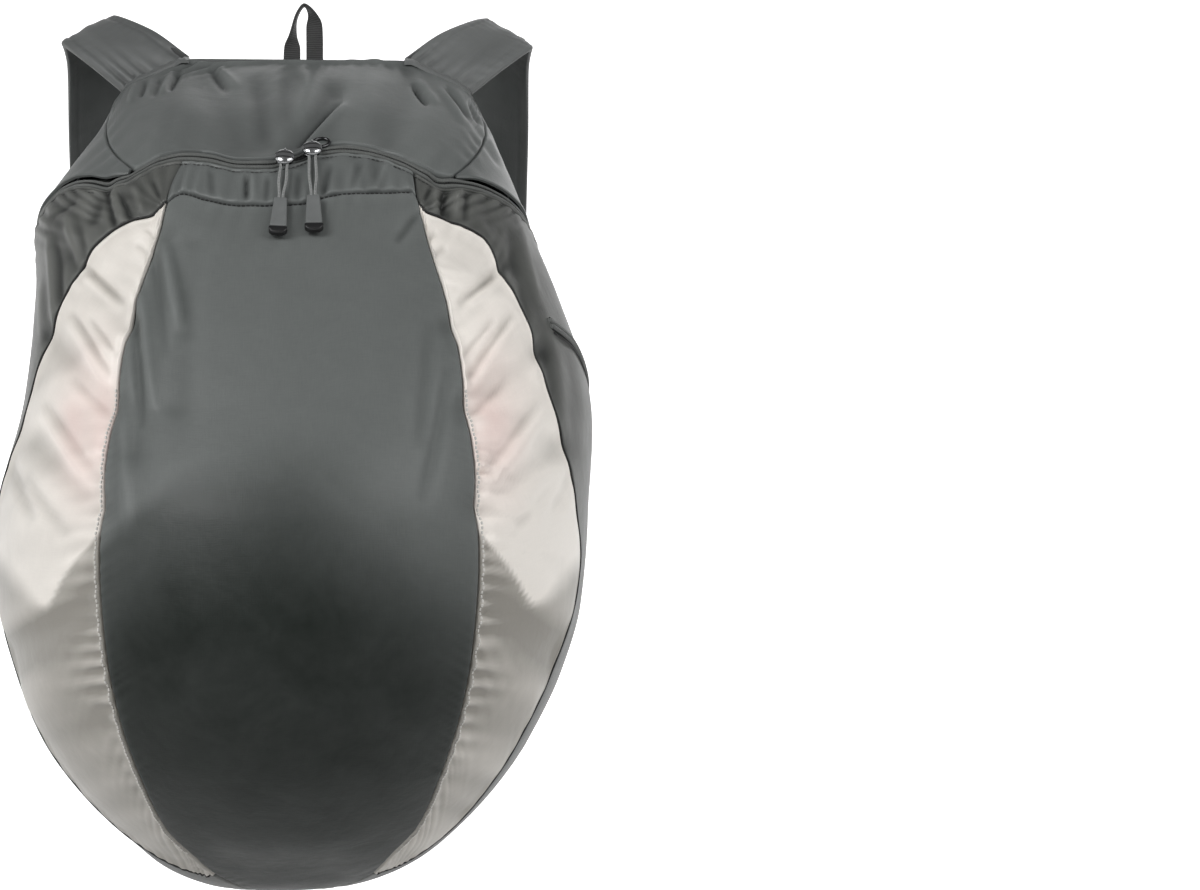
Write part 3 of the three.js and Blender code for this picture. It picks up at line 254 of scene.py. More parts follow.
CRESCENT_CREASES = [
    (0.69, 0.262, 0.545, 0.303, 2.2, 1.3),
    (0.7, 0.27, 0.56, 0.312, 2.6, -0.8),
    (0.715, 0.318, 0.566, 0.39, 2.6, 1.5),
    (0.65, 0.325, 0.55, 0.365, 1.8, 1.1),
    (0.72, 0.328, 0.58, 0.4, 3.0, -0.8),
    (0.7, 0.392, 0.578, 0.432, 2.4, 1.2),
    (0.79, 0.42, 0.6, 0.5, 3.4, 1.3),
    (0.8, 0.435, 0.62, 0.515, 3.6, -0.9),
    (0.86, 0.5, 0.7, 0.56, 4.0, 1.1),
    (0.93, 0.49, 0.82, 0.545, 4.0, 1.2),
    (0.47, 0.222, 0.44, 0.232, 1.2, 0.7),
    (0.5, 0.24, 0.46, 0.25, 1.4, 0.7),
]
FRONT_CREASES = [
    (-0.416, 0.24, -0.353, 0.33, 3.2, -1.1),
    (-0.45, 0.25, -0.4, 0.36, 3.0, 0.7),
    (-0.482, 0.3, -0.434, 0.42, 3.2, -1.2),
    (-0.51, 0.31, -0.47, 0.44, 2.6, 0.7),
    (-0.38, 0.24, -0.33, 0.34, 4.0, 0.6),
    (0.41, 0.2, 0.34, 0.235, 2.2, 0.9),
    (0.44, 0.33, 0.41, 0.46, 4.5, 0.7),
    (0.5, 0.38, 0.42, 0.52, 4.0, 0.7),
    (-0.53, 0.42, -0.5, 0.56, 3.4, -0.7),
]
BAND_CREASES = [
    (-0.152, 0.158, -0.15, 0.186, 1.4, 1.3),
    (-0.13, 0.158, -0.128, 0.186, 2.2, -0.9),
    (-0.27, 0.15, -0.262, 0.18, 2.0, 0.8),
    (-0.08, 0.16, -0.085, 0.188, 1.6, 0.9),
    (0.02, 0.155, 0.015, 0.185, 1.8, 0.8),
    (0.12, 0.145, 0.1, 0.18, 2.0, 1.0),
    (0.22, 0.14, 0.19, 0.175, 2.2, 0.9),
    (0.3, 0.145, 0.27, 0.175, 2.0, -0.8),
    (0.405, 0.155, 0.408, 0.185, 1.1, 1.5),
]

# Edges of the left shoulder strap: outAcross, outBack, outDown, inAcross, inBack, inDown
STRAP_EDGES = [
    (0.607, 0.075, 0.036, 0.376, 0.075, -0.006),
    (0.735, 0.22, -0.002, 0.515, 0.25, -0.043),
    (0.835, 0.44, -0.03, 0.655, 0.56, -0.067),
    (0.83, 0.72, -0.012, 0.66, 0.86, -0.042),
    (0.835, 0.9, 0.06, 0.56, 0.97, 0.045),
    (0.83, 0.96, 0.16, 0.535, 1.0, 0.155),
    (0.805, 0.97, 0.37, 0.51, 0.98, 0.37),
    (0.755, 0.88, 0.54, 0.5, 0.88, 0.54),
    (0.71, 0.74, 0.67, 0.53, 0.74, 0.67),
]

# Middle of the haul loop's webbing: across, up, turn
HAUL_LOOP = [
    (-0.74, -0.99, 0), (-0.72, -0.75, 15), (-0.66, -0.5, 66), (-0.52, -0.22, 86), (0.0, 0.03, 90),
    (0.46, -0.14, 62), (0.6, -0.36, 15), (0.62, -0.7, 0), (0.62, -0.99, 0),
]

# around, down: middle of the pocket zip
POCKET_ZIP = [(0.804, 0.324), (0.83, 0.332), (0.86, 0.342), (0.905, 0.367), (0.955, 0.4)]

# Across and lift of the visible zip tapes' section, from the middle of the zip, in millimetres
TAPE_SECTION = [
    (0.75, -1.6), (0.72, -0.8), (1.05, -0.35), (1.6, -0.1), (2.3, -0.1), (2.9, -0.35), (3.25, -1.1),
    (3.6, -2.3), (5.2, -3.0), (6.8, -3.1),
]

# The same for the pocket zip's lips, from its middle
POCKET_SECTION = [
    (-3.2, 0.1), (-3.0, 0.75), (-2.4, 1.15), (-1.4, 1.25), (-0.6, 0.9), (-0.35, -0.6), (0.35, -0.6),
    (0.6, 0.9), (1.4, 1.2), (2.2, 1.1), (2.5, 0.55), (2.8, 0.9), (3.05, 0.6), (3.2, 0.1),
]
# name, across, radius: dark lines beside the pocket zip, in millimetres. The gap line is a black tube painted
# in as the shadow above the zip; the two seams are dark seam lines
POCKET_LINES = [("gap", -3.4, 0.8), ("seam", 3.4, 0.4), ("second_seam", 5.6, 0.4)]

# inwards in millimetres, share of the half thickness: a strap's folded binding
BINDING_HALF = [(3.2, 0.75), (2.6, 0.98), (1.0, 1.02), (-0.1, 0.85), (-0.55, 0.45), (-0.7, 0.0)]
BINDING_SECTION = BINDING_HALF + [(inwards, -out) for inwards, out in BINDING_HALF[-2::-1]]

# share of the width, share of the thickness: flat webbing
WEBBING_SECTION = np.array([
    (-0.5, 0.25), (-0.47, 0.7), (-0.4, 1), (-0.2, 0.94), (0, 0.97),
    (0.2, 0.94), (0.4, 1), (0.47, 0.7), (0.5, 0.25),
])


class Curve:
    """A smooth curve through a table's rows, with no overshoot between them."""

    def __init__(self, x, y):
        self.x = np.array(x, float)
        self.y = np.array(y, float)
        span = np.diff(self.x)
        slope = np.diff(self.y) / span
        self.tangent = np.zeros_like(self.y)
        self.tangent[0] = slope[0]
        self.tangent[-1] = slope[-1]
        for i in range(1, len(slope)):
            before, after = slope[i - 1], slope[i]
            if before * after > 0:
                heavy = 2 * span[i] + span[i - 1]
                light = span[i] + 2 * span[i - 1]
                self.tangent[i] = (heavy + light) / (heavy / before + light / after)

    def __call__(self, at):
        x = np.clip(at, self.x[0], self.x[-1])
        i = np.clip(np.searchsorted(self.x, x, side="right") - 1, 0, len(self.x) - 2)
        h = self.x[i + 1] - self.x[i]
        t = (x - self.x[i]) / h
        start = (1 + 2 * t) * (1 - t) ** 2 * self.y[i] + t * (1 - t) ** 2 * h * self.tangent[i]
        end = t * t * (3 - 2 * t) * self.y[i + 1] + t * t * (t - 1) * h * self.tangent[i + 1]
        return start + end


def curves(table):
    """A curve for each column of a table over its first one."""
    columns = list(zip(*table))
    return [Curve(columns[0], column) for column in columns[1:]]


def even_curves(table):
    """A curve for each column of a table whose rows lie evenly from 0 to 1."""
    shares = np.linspace(0, 1, len(table))
    return [Curve(shares, column) for column in zip(*table)]


section_curves = curves(SECTIONS)
inner_across = curves(INNER_SEAM)[0]
outer_share = dict(zip(SIDES, curves(OUTER_SEAM)))
zip_middle = curves(ZIP_LINE)[0]
band_seam = curves(BAND_SEAM)[0]
strap_curves = even_curves(STRAP_EDGES)
haul_curves = even_curves(HAUL_LOOP)
pocket_curves = even_curves(POCKET_ZIP)


# across, down: where painted shade starts on the front panel and on the crescents, whose lower parts face
# away from the light
front_painted_shade_line = Curve([-0.6, -0.45, -0.3, 0, 0.3, 0.6], [0.575, 0.53, 0.5, 0.49, 0.54, 0.62])
crescent_painted_shade_line = Curve(
    [0.5, 0.56, 0.62, 0.7, 0.775, 0.86, 0.95, 1.0],
    [0.53, 0.545, 0.572, 0.607, 0.642, 0.622, 0.6, 0.59],
)


def mix(a, b, share):
    return a + (b - a) * share


def smoothstep(low, high, value):
    t = np.clip((value - low) / (high - low), 0, 1)
    return t * t * (3 - 2 * t)


def power(value, exponent):
    return np.sign(value) * np.abs(value) ** exponent


def length_of(vectors):
    return np.linalg.norm(vectors, axis=-1, keepdims=True)


def unit(vectors):
    return vectors / np.maximum(length_of(vectors), 1e-12)


def together(*parts):
    """Arrays spread to one shape and stacked in a last axis."""
    return np.stack(np.broadcast_arrays(*parts), axis=-1)


def section(down):
    half, shift, front, belly, square = (curve(down) for curve in section_curves)
    depth = BODY_DEPTH * front
    low = depth * belly
    rise = depth - low
    wrap = np.arcsin((low / rise) ** (square / 2))
    return HALF_WIDTH * half, HALF_WIDTH * shift, low, rise, square, wrap


def smooth_point(around, down):
    """The smooth body: around runs from 0 at the left back edge over the front to 1 at the right one."""
    half, middle, belly, rise, square, wrap = section(down)
    angle = around * (math.pi + 2 * wrap) - wrap
    x = middle - half * power(np.cos(angle), 2 / square)
    y = -(belly + rise * power(np.sin(angle), 2 / square))
    return together(x, y, -BODY_HEIGHT * down)


def around_at(across, down):
    """The way round at which the front reaches a distance across."""
    half, middle, _, _, square, wrap = section(down)
    reach = np.clip((middle - across) / half, -1, 1)
    return (np.arccos(power(reach, square / 2)) + wrap) / (math.pi + 2 * wrap)


def slopes(around, down):
    low, high = np.maximum(down - STEP, 0), np.minimum(down + STEP, 1)
    left, right = np.maximum(around - STEP, 0), np.minimum(around + STEP, 1)
    sideways = (smooth_point(right, down) - smooth_point(left, down)) / (right - left)[..., None]
    downwards = (smooth_point(around, high) - smooth_point(around, low)) / (high - low)[..., None]
    return sideways, downwards


def outward(around, down):
    sideways, downwards = slopes(around, down)
    return unit(np.cross(downwards, sideways))


def along_fold(points, row):
    """Each point's share of the way along a fold, its place from the fold's start, and the fold's line."""
    start = np.array([row[0] * HALF_WIDTH, -row[1] * BODY_HEIGHT])
    line = np.array([row[2] * HALF_WIDTH, -row[3] * BODY_HEIGHT]) - start
    spot = points[..., [0, 2]] - start
    return spot @ line / (line @ line), spot, line


def press(points, row, wide, deep):
    """How far one fold presses the cloth in at each point."""
    along, spot, line = along_fold(points, row)
    off = np.linalg.norm(spot - np.clip(along, 0, 1)[..., None] * line, axis=-1) / wide
    return deep * np.exp(-off * off)


def main_folds(points):
    return sum(press(points, row, row[4] * BODY_DEPTH, row[5] * BODY_DEPTH) for row in MAIN_FOLDS)


def crease_fade(points, row):
    """A small fold is deepest in its middle and runs out at both ends."""
    along = along_fold(points, row)[0]
    return smoothstep(-0.25, 0.25, along) * smoothstep(1.25, 0.7, along)


def creases(points, table, mirrored=False):
    flipped = points * np.array([-1, 1, 1]) if mirrored else points
    total = np.zeros(points.shape[:-1])
    for row in table:
        total += press(flipped, row, row[4] * MM, row[5] * MM) * crease_fade(flipped, row)
    return total


def lattice(ix, iy, seed):
    value = np.sin(ix * 127.1 + iy * 311.7 + seed * 74.7) * 43758.5453
    return 2 * (value - np.floor(value)) - 1


def wander(x, y=0.0, seed=0):
    """A smooth random field between -1 and 1, one wave to each unit, the same on each run."""
    x, y = np.broadcast_arrays(np.asarray(x, float), np.asarray(y, float))
    ix, iy = np.floor(x), np.floor(y)
    tx, ty = x - ix, y - iy
    tx, ty = tx * tx * (3 - 2 * tx), ty * ty * (3 - 2 * ty)
    low = mix(lattice(ix, iy, seed), lattice(ix + 1, iy, seed), tx)
    high = mix(lattice(ix, iy + 1, seed), lattice(ix + 1, iy + 1, seed), tx)
    return mix(low, high, ty)


def pucker(run, distance, size, lean, seed):
    """Small gathers that start at a seam: size is their pitch, reach and height in millimetres,
    run the length along the seam and distance the way from it."""
    pitch, reach, high = (value * MM for value in size)
    wave = (run + lean * distance) / pitch
    phase = wave + 0.6 * wander(wave / 2.6, 0, seed)
    strength = 0.3 + 0.7 * smoothstep(-0.7, 0.8, wander(wave / 3.7, 0, seed + 1))
    length = reach * (1 + 0.5 * wander(wave / 1.7, 0, seed + 2))
    rise = 1 - np.exp(-distance / (0.12 * reach))
    return high * strength * np.sin(2 * math.pi * phase) * rise * np.exp(-((distance / length) ** 1.3))


def ridge(distance, at, wide, high):
    """A raised line beside an edge, in millimetres."""
    return high * MM * np.exp(-(((distance - at * MM) / (wide * MM)) ** 2))


def roll(distance, depth=ROLL_DEPTH, reach=ROLL_REACH):
    return -depth * np.exp(-((distance / reach) ** 2))


def running(steps, axis):
    """Lengths summed along one axis of a grid, from 0."""
    first = np.zeros_like(np.take(steps, [0], axis=axis))
    return np.cumsum(np.concatenate([first, steps], axis=axis), axis=axis)


def run_along(line):
    """The length reached at each point of a line, or of each column of a grid."""
    return running(length_of(np.diff(line, axis=0)), 0)


class Cloth:
    """A grid of spots on the body, row by row from top to bottom and left to right."""

    def __init__(self, around, down):
        self.around, self.down = np.broadcast_arrays(around, down)
        self.points = smooth_point(self.around, self.down)
        self.out = outward(self.around, self.down)
        self.left = running(length_of(np.diff(self.points, axis=1))[..., 0], 1)
        self.top = running(length_of(np.diff(self.points, axis=0))[..., 0], 0)
        self.right = self.left[:, -1:] - self.left
        self.bottom = self.top[-1:] - self.top
        self.lift = -main_folds(self.points)
        self.tone = np.ones_like(self.lift)
        self.tint = np.zeros_like(self.lift)

    @property
    def across(self):
        return self.points[..., 0] / HALF_WIDTH

    def with_painted_fold_shade(self, strength):
        """The tone with painted shade in the fold valleys and painted highlight on the ridges, strength to a
        millimetre of fold.
        """
        return self.tone + strength * (self.lift - blurred(self.lift, 14)) / MM

    def spots(self, raised=0.0):
        return self.points + self.out * (self.lift + raised)[..., None]

    def line_beside(self, away, distance, raised):
        """The line on the cloth at one distance from an edge, with its way and outward direction."""
        grids = [grid[..., k] for grid in (self.spots(raised), self.out) for k in range(3)]
        rows = []
        for i, reach in enumerate(away):
            order = np.argsort(reach)
            rows.append([np.interp(distance, reach[order], grid[i][order]) for grid in grids])
        rows = np.array(rows)
        return rows[:, :3] + BODY_SHIFT, np.gradient(rows[:, :3], axis=0), rows[:, 3:]

    def flat(self):
        """The width, length and area of the cut."""
        p = self.points
        cross = np.cross(p[1:, 1:] - p[:-1, :-1], p[1:, :-1] - p[:-1, 1:])
        area = float(length_of(cross).sum() / 2)
        width, length = float(self.left[:, -1].max()), float(self.top[-1].max())
        return (width, length), min(max(area, 0.3 * width * length), width * length)


def blurred(grid, times):
    """The grid with each value drawn towards its neighbours, again and again."""
    for _ in range(times):
        for axis in (0, 1):
            low, high = np.take(grid, [0], axis=axis), np.take(grid, [-1], axis=axis)
            wide = np.concatenate([low, grid, high], axis=axis)
            count = wide.shape[axis]
            before = np.take(wide, np.arange(count - 2), axis=axis)
            after = np.take(wide, np.arange(2, count), axis=axis)
            grid = (before + 2 * grid + after) / 4
    return grid


def eased(steps, near=0.6):
    """Shares from 0 to 1 that lie closer together at both ends."""
    t = np.linspace(0, 1, steps + 1)
    return t - near * np.sin(2 * math.pi * t) / (2 * math.pi)


def drawn_in(grid, inset):
    """The grid with its rim drawn in, so that neighbouring cloths keep their seam gap."""
    moved = grid.copy()
    moved[0] += unit(grid[1] - grid[0]) * inset
    moved[-1] += unit(grid[-2] - grid[-1]) * inset
    moved[:, 0] += unit(grid[:, 1] - grid[:, 0]) * inset
    moved[:, -1] += unit(grid[:, -2] - grid[:, -1]) * inset
    return moved


def new_piece(name, points, faces, uv=None):
    """A smooth object from points and faces, with each point's place on the flat cloth."""
    mesh = bpy.data.meshes.new(name)
    mesh.from_pydata(points, [], faces)
    if uv is not None:
        order = [i for face in faces for i in face]
        places = np.asarray(uv, float).reshape(-1, 2)[order]
        mesh.uv_layers.new(name="cloth").data.foreach_set("uv", places.ravel())
    mesh.polygons.foreach_set("use_smooth", np.ones(len(mesh.polygons), bool))
    piece = bpy.data.objects.new(name, mesh)
    bpy.context.scene.collection.objects.link(piece)
    return piece


def make_mesh(name, points, faces, uv=None, fields=None, smooth=60.0):
    """An object from points and quads, turned outwards, with a value of each field at each point."""
    points = np.asarray(points, float).reshape(-1, 3)
    corner = points[faces]
    one, two, three = (corner[:, k] - corner[:, 0] for k in (1, 2, 3))
    lean = np.cross(one, two) + np.cross(two, three)
    if ((corner.mean(axis=1) - points.mean(axis=0)) * lean).sum() < 0:
        faces = faces[:, ::-1]
    piece = new_piece(name, points.tolist(), faces.tolist(), uv)
    for field, values in (fields or {}).items():
        attribute = piece.data.attributes.new(field, "FLOAT", "POINT")
        attribute.data.foreach_set("value", np.asarray(values, float).ravel())
    piece.data.update()
    if smooth < 180:
        keep_edges(piece, smooth)
    return piece


def keep_edges(piece, degrees=50):
    """Smooth shading, but for edges that turn by more than an angle."""
    select_only(piece)
    bpy.ops.object.shade_smooth_by_angle(angle=math.radians(degrees))


def select_only(piece):
    bpy.ops.object.select_all(action="DESELECT")
    piece.select_set(True)
    bpy.context.view_layer.objects.active = piece


def grid_faces(height, width):
    index = np.arange(height * width).reshape(height, width)
    corners = [index[:-1, :-1], index[:-1, 1:], index[1:, 1:], index[1:, :-1]]
    return index, np.stack(corners, axis=-1).reshape(-1, 4)


def shell(name, outer, inner, uv, fields=None):
    """A closed sheet between an outer and an inner grid."""
    height, width = outer.shape[:2]
    index, front = grid_faces(height, width)
    count = height * width
    loop = np.concatenate([index[0, :-1], index[:-1, -1], index[-1, :0:-1], index[:0:-1, 0]])
    after = np.roll(loop, -1)
    rim = np.stack([after, loop, loop + count, after + count], axis=-1)
    faces = np.concatenate([front, front[:, ::-1] + count, rim])
    points = np.concatenate([outer.reshape(-1, 3), inner.reshape(-1, 3)])
    doubled = {}
    for field, values in (fields or {}).items():
        sides = values if isinstance(values, tuple) else (values, values)
        doubled[field] = np.concatenate([np.broadcast_to(side, outer.shape[:2]).ravel() for side in sides])
    flat = uv.reshape(-1, 2)
    return make_mesh(name, points, faces, np.concatenate([flat, flat]), doubled)


def finish_piece(piece, look, slot, body, *nodes):
    piece.data.materials.append(looks[look])
    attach(piece, body)
    if nodes:
        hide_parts(*nodes)
    return piece


def cloth_piece(name, cloth, look, slot, thick=CLOTH, shade=0.22):
    """A cut of cloth that stands for the CAD node of its own name."""
    outer = drawn_in(cloth.spots(), SEAM_GAP / 2)
    inner = drawn_in(cloth.spots(-thick), SEAM_GAP / 2)
    uv = np.stack([cloth.left - cloth.left[:, -1:] / 2, cloth.top], axis=-1)
    # Every cloth's tone gets painted shade in its folds and seam rolls and painted highlight on its ridges,
    # by the shade strength
    fields = {"tone": cloth.with_painted_fold_shade(shade), "tint": cloth.tint}
    piece = shell(name + "_cloth", outer + BODY_SHIFT, inner + BODY_SHIFT, uv, fields)
    finish_piece(piece, look, slot, "bag", name)
    flat, area = cloth.flat()
    return piece


class Value:
    """A shader socket that takes the usual operators."""

    def __init__(self, look, socket):
        self.look = look
        self.socket = socket

    def math(self, operation, *others):
        inputs = dict(enumerate((self, *others)))
        return self.look.node("ShaderNodeMath", {"operation": operation}, inputs)

    def __add__(self, other):
        return self.math("ADD", other)

    def __sub__(self, other):
        return self.math("SUBTRACT", other)

    def __mul__(self, other):
        return self.math("MULTIPLY", other)


class Look:
    """A node material. node() adds any node; noise(), blend(), bump() and the rest are the usual few."""

    def __init__(self, name):
        self.material = bpy.data.materials.new(name)
        self.material.use_nodes = True
        self.tree = self.material.node_tree
        self.tree.nodes.clear()
        self.shader = self.tree.nodes.new("ShaderNodeBsdfPrincipled")
        end = self.tree.nodes.new("ShaderNodeOutputMaterial")
        self.tree.links.new(self.shader.outputs[0], end.inputs[0])

    def feed(self, socket, value):
        if isinstance(value, Value):
            self.tree.links.new(value.socket, socket)
        elif value is not None:
            socket.default_value = value

    def node(self, kind, settings=None, inputs=None, output=0):
        node = self.tree.nodes.new(kind)
        for key, value in (settings or {}).items():
            setattr(node, key, value)
        for key, value in (inputs or {}).items():
            self.feed(node.inputs[key], value)
        return Value(self, node.outputs[output])

    def set(self, **values):
        names = {key: key.replace("_", " ").title() for key in values}
        names["ior"] = "IOR"
        names["specular"] = "Specular IOR Level"
        for key, value in values.items():
            self.feed(self.shader.inputs[names[key]], value)
        return self.material

    def cover(self, share, colours, worn, relief, **more):
        """Sets a colour between two by a share, the roughness and the relief."""
        return self.set(base_color=self.blend(share, *colours), roughness=worn, normal=relief, **more)

    def noise(self, vector, scale, detail=2.0, rough=0.5, distortion=0.0):
        inputs = {"Vector": vector, "Scale": scale, "Detail": detail, "Roughness": rough}
        return self.node("ShaderNodeTexNoise", {}, {**inputs, "Distortion": distortion})

    def part(self, vector, axis):
        return self.node("ShaderNodeSeparateXYZ", {}, {0: vector}, axis)

    def stretch(self, vector, scale):
        return self.node("ShaderNodeVectorMath", {"operation": "MULTIPLY"}, {0: vector, 1: scale})

    def blend(self, share, a, b):
        a, b = (value if isinstance(value, Value) else (*value, 1) for value in (a, b))
        return self.mixed({}, {0: share, 6: a, 7: b})

    def shade(self, colour, factor):
        """A colour made lighter or darker by a factor."""
        grey = self.node("ShaderNodeCombineXYZ", {}, {0: factor, 1: factor, 2: factor})
        return self.mixed({"blend_type": "MULTIPLY"}, {0: 1.0, 6: colour, 7: grey})

    def mixed(self, settings, inputs):
        return self.node("ShaderNodeMix", {"data_type": "RGBA", **settings}, inputs, 2)

    def bump(self, height, depth, strength=1.0, normal=None):
        inputs = {"Height": height, "Distance": depth, "Strength": strength, "Normal": normal}
        return self.node("ShaderNodeBump", {}, inputs)

    def uv(self):
        return self.node("ShaderNodeUVMap", {"uv_map": "cloth"})

    def field(self, name):
        return self.node("ShaderNodeAttribute", {"attribute_name": name}, {}, 2)

    def object(self):
        return self.node("ShaderNodeTexCoord", {}, {}, 3)


def threads(look, uv, fine=1.0):
    """Fine threads across and along the cloth, as one height between 0 and 1."""
    warp = look.noise(look.stretch(uv, (1700 * fine, 110 * fine, 1)), 1.0, 2.0, 0.6)
    weft = look.noise(look.stretch(uv, (110 * fine, 1700 * fine, 1)), 1.0, 2.0, 0.6)
    return warp * 0.5 + weft * 0.5


def crinkle(look, vector):
    """The soft unevenness of thin nylon."""
    wide = look.noise(vector, 26.0, 3.0, 0.55, 0.6)
    small = look.noise(vector, 120.0, 2.0, 0.5, 0.3)
    return wide * 0.75 + small * 0.25


def nylon(name, dark, light, roughness, specular=0.35, sheen=0.05):
    """Smooth coated nylon, with the piece's own tone between a dark and a light colour; the tone carries
    painted shade and painted highlight as well as the cloth's own unevenness.
    """
    look = Look(name)
    uv, spot = look.uv(), look.object()
    weave = threads(look, uv)
    soft = crinkle(look, spot)
    share = look.field("tone") * 0.94 + (soft - 0.5) * 0.22
    base = look.shade(look.blend(share, dark, light), weave * 0.36 + 0.82)
    relief = look.bump(weave, 0.00025, 0.5)
    relief = look.bump(soft, 0.0014, 0.5, relief)
    worn = (look.noise(spot, 60.0, 3.0) - 0.5) * 0.12 + (weave - 0.5) * 0.14 + roughness
    return look.set(
        base_color=base, roughness=worn, normal=relief, specular=specular,
        sheen_weight=sheen, sheen_roughness=0.4,
    )


def reflective(name, dark, light, blush):
    """Pale reflective cloth, satin and smooth, with a faint blush where its tint is; its tone picks between
    the lit colour and a painted-shade colour.
    """
    look = Look(name)
    uv, spot = look.uv(), look.object()
    weave = threads(look, uv, 0.8)
    soft = crinkle(look, spot)
    share = look.field("tone") * 0.96 + (soft - 0.5) * 0.3
    base = look.blend(look.field("tint"), look.blend(share, dark, light), blush)
    base = look.shade(base, weave * 0.14 + 0.93)
    relief = look.bump(weave, 0.0002, 0.4)
    relief = look.bump(soft, 0.0016, 0.55, relief)
    worn = (soft - 0.5) * 0.2 + (weave - 0.5) * 0.1 + 0.46
    return look.set(
        base_color=base, roughness=worn, normal=relief, specular=0.45,
        sheen_weight=0.15, sheen_roughness=0.3,
    )


def ribbed(name, dark, light, pitch, roughness):
    """Webbing or tape with ribs across it and threads along it."""
    look = Look(name)
    uv, spot = look.uv(), look.object()
    rib = (look.part(uv, 1) * (2 * math.pi / pitch)).math("SINE") * 0.5 + 0.5
    thread = threads(look, uv, 1.2)
    height = rib * 0.65 + thread * 0.35
    share = height * 0.8 + (look.noise(spot, 90.0, 3.0) - 0.5) * 0.5
    relief = look.bump(height, 0.0004, 0.6)
    worn = (thread - 0.5) * 0.2 + roughness
    return look.cover(share, (dark, light), worn, relief, sheen_weight=0.2)


def mesh_fabric(name, dark, light):
    """Spacer mesh: small open cells in rows."""
    look = Look(name)
    uv, spot = look.uv(), look.object()
    pattern = {"Vector": uv, "Scale": 420.0, "Randomness": 0.25}
    cells = look.node("ShaderNodeTexVoronoi", {"feature": "F1"}, pattern)
    cord = (cells * 1.9).math("MINIMUM", 1.0)
    soft = crinkle(look, spot)
    share = cord * 0.8 + (soft - 0.5) * 0.5
    relief = look.bump(cord, 0.0006, 0.8)
    worn = (soft - 0.5) * 0.2 + 0.85
    return look.cover(share, (dark, light), worn, relief, sheen_weight=0.3)


def plated(name, dark, light, roughness):
    """Dark plated metal with fine scuffs."""
    look = Look(name)
    spot = look.object()
    scuff = look.noise(look.stretch(spot, (300, 900, 300)), 1.0, 4.0, 0.65)
    patch = look.noise(spot, 260.0, 3.0)
    share = patch * 0.7 + scuff * 0.3
    worn = (scuff - 0.5) * 0.3 + roughness
    relief = look.bump(scuff, 0.00005, 0.4)
    return look.cover(share, (dark, light), worn, relief, metallic=1.0)


def moulded(name, dark, light, roughness):
    """Moulded plastic or rubber with a fine grain."""
    look = Look(name)
    spot = look.object()
    grain = look.noise(spot, 1800.0, 3.0, 0.6)
    patch = look.noise(spot, 150.0, 3.0)
    share = patch * 0.7 + grain * 0.3
    worn = (grain - 0.5) * 0.2 + roughness
    relief = look.bump(grain, 0.00008, 0.5)
    return look.cover(share, (dark, light), worn, relief)


def braid(name, dark, light):
    """Braided cord: slanting strands that cross."""
    look = Look(name)
    parts = [look.part(look.uv(), i) for i in range(2)]
    one = ((parts[0] * 4 + parts[1] * 900) * math.pi).math("SINE")
    two = ((parts[0] * 4 - parts[1] * 900) * math.pi).math("SINE")
    height = (one * two) * 0.5 + 0.5
    share = height * 0.8 + (look.noise(look.object(), 900.0, 2.0) - 0.5) * 0.5
    relief = look.bump(height, 0.0002, 0.7)
    worn = height * 0.1 + 0.7
    return look.cover(share, (dark, light), worn, relief)


looks = {
    # The front nylon's dark colour is the painted shade of the panel's lower part, picked by its tone
    "front": nylon("front_nylon", (0.007, 0.0105, 0.0082), (0.159, 0.17, 0.166), 0.42, 0.22, 0.02),
    "top": nylon("top_nylon", (0.045, 0.049, 0.048), (0.152, 0.163, 0.159), 0.44),
    "side": nylon("side_nylon", (0.03, 0.032, 0.03), (0.13, 0.134, 0.125), 0.44),
    "strap": nylon("strap_nylon", (0.035, 0.038, 0.037), (0.15, 0.157, 0.155), 0.5),
    "binding": ribbed("binding_tape", (0.08, 0.085, 0.083), (0.2, 0.206, 0.202), 0.9 * MM, 0.7),
    # A darker copy of the binding tape for the strap's inner edge, painted shade
    "shaded_binding": ribbed(
        "shaded_binding_tape", (0.02, 0.021, 0.021), (0.06, 0.062, 0.06), 0.9 * MM, 0.7,
    ),
    # The reflective cloth's dark colour is the painted shade of the crescents' lower parts
    "reflective": reflective(
        "reflective_cloth", (0.285, 0.27, 0.24), (0.92, 0.875, 0.815), (0.88, 0.64, 0.6),
    ),
    "tape": ribbed("zip_tape_weave", (0.07, 0.075, 0.071), (0.15, 0.158, 0.15), 0.8 * MM, 0.6),
    "coil": moulded("zip_coil_nylon", (0.004, 0.004, 0.004), (0.014, 0.015, 0.014), 0.5),
    "webbing": ribbed("webbing_weave", (0.02, 0.02, 0.02), (0.07, 0.07, 0.07), 1.3 * MM, 0.8),
    "piping": nylon("piping_nylon", (0.01, 0.011, 0.011), (0.1, 0.106, 0.104), 0.5),
    "back": mesh_fabric("back_mesh", (0.008, 0.009, 0.009), (0.05, 0.053, 0.052)),
    "thread": moulded("stitch_thread", (0.03, 0.031, 0.03), (0.09, 0.093, 0.09), 0.7),
    "dark_thread": moulded("dark_stitch_thread", (0.008, 0.008, 0.008), (0.03, 0.031, 0.03), 0.6),
    "light_thread": moulded("light_stitch_thread", (0.5, 0.49, 0.46), (0.75, 0.73, 0.7), 0.6),
    "metal": plated("gunmetal_plate", (0.3, 0.305, 0.31), (0.62, 0.63, 0.64), 0.2),
    "dark_metal": plated("dark_plate", (0.03, 0.03, 0.032), (0.14, 0.142, 0.145), 0.24),
    "cord": braid("pull_braid", (0.14, 0.146, 0.143), (0.42, 0.43, 0.425)),
    "grip": moulded("grip_plastic", (0.115, 0.122, 0.121), (0.175, 0.183, 0.182), 0.5),
    "cap": moulded("grip_cap", (0.004, 0.004, 0.004), (0.014, 0.014, 0.015), 0.35),
    "plastic": moulded("adjuster_plastic", (0.006, 0.006, 0.007), (0.022, 0.022, 0.023), 0.4),
}


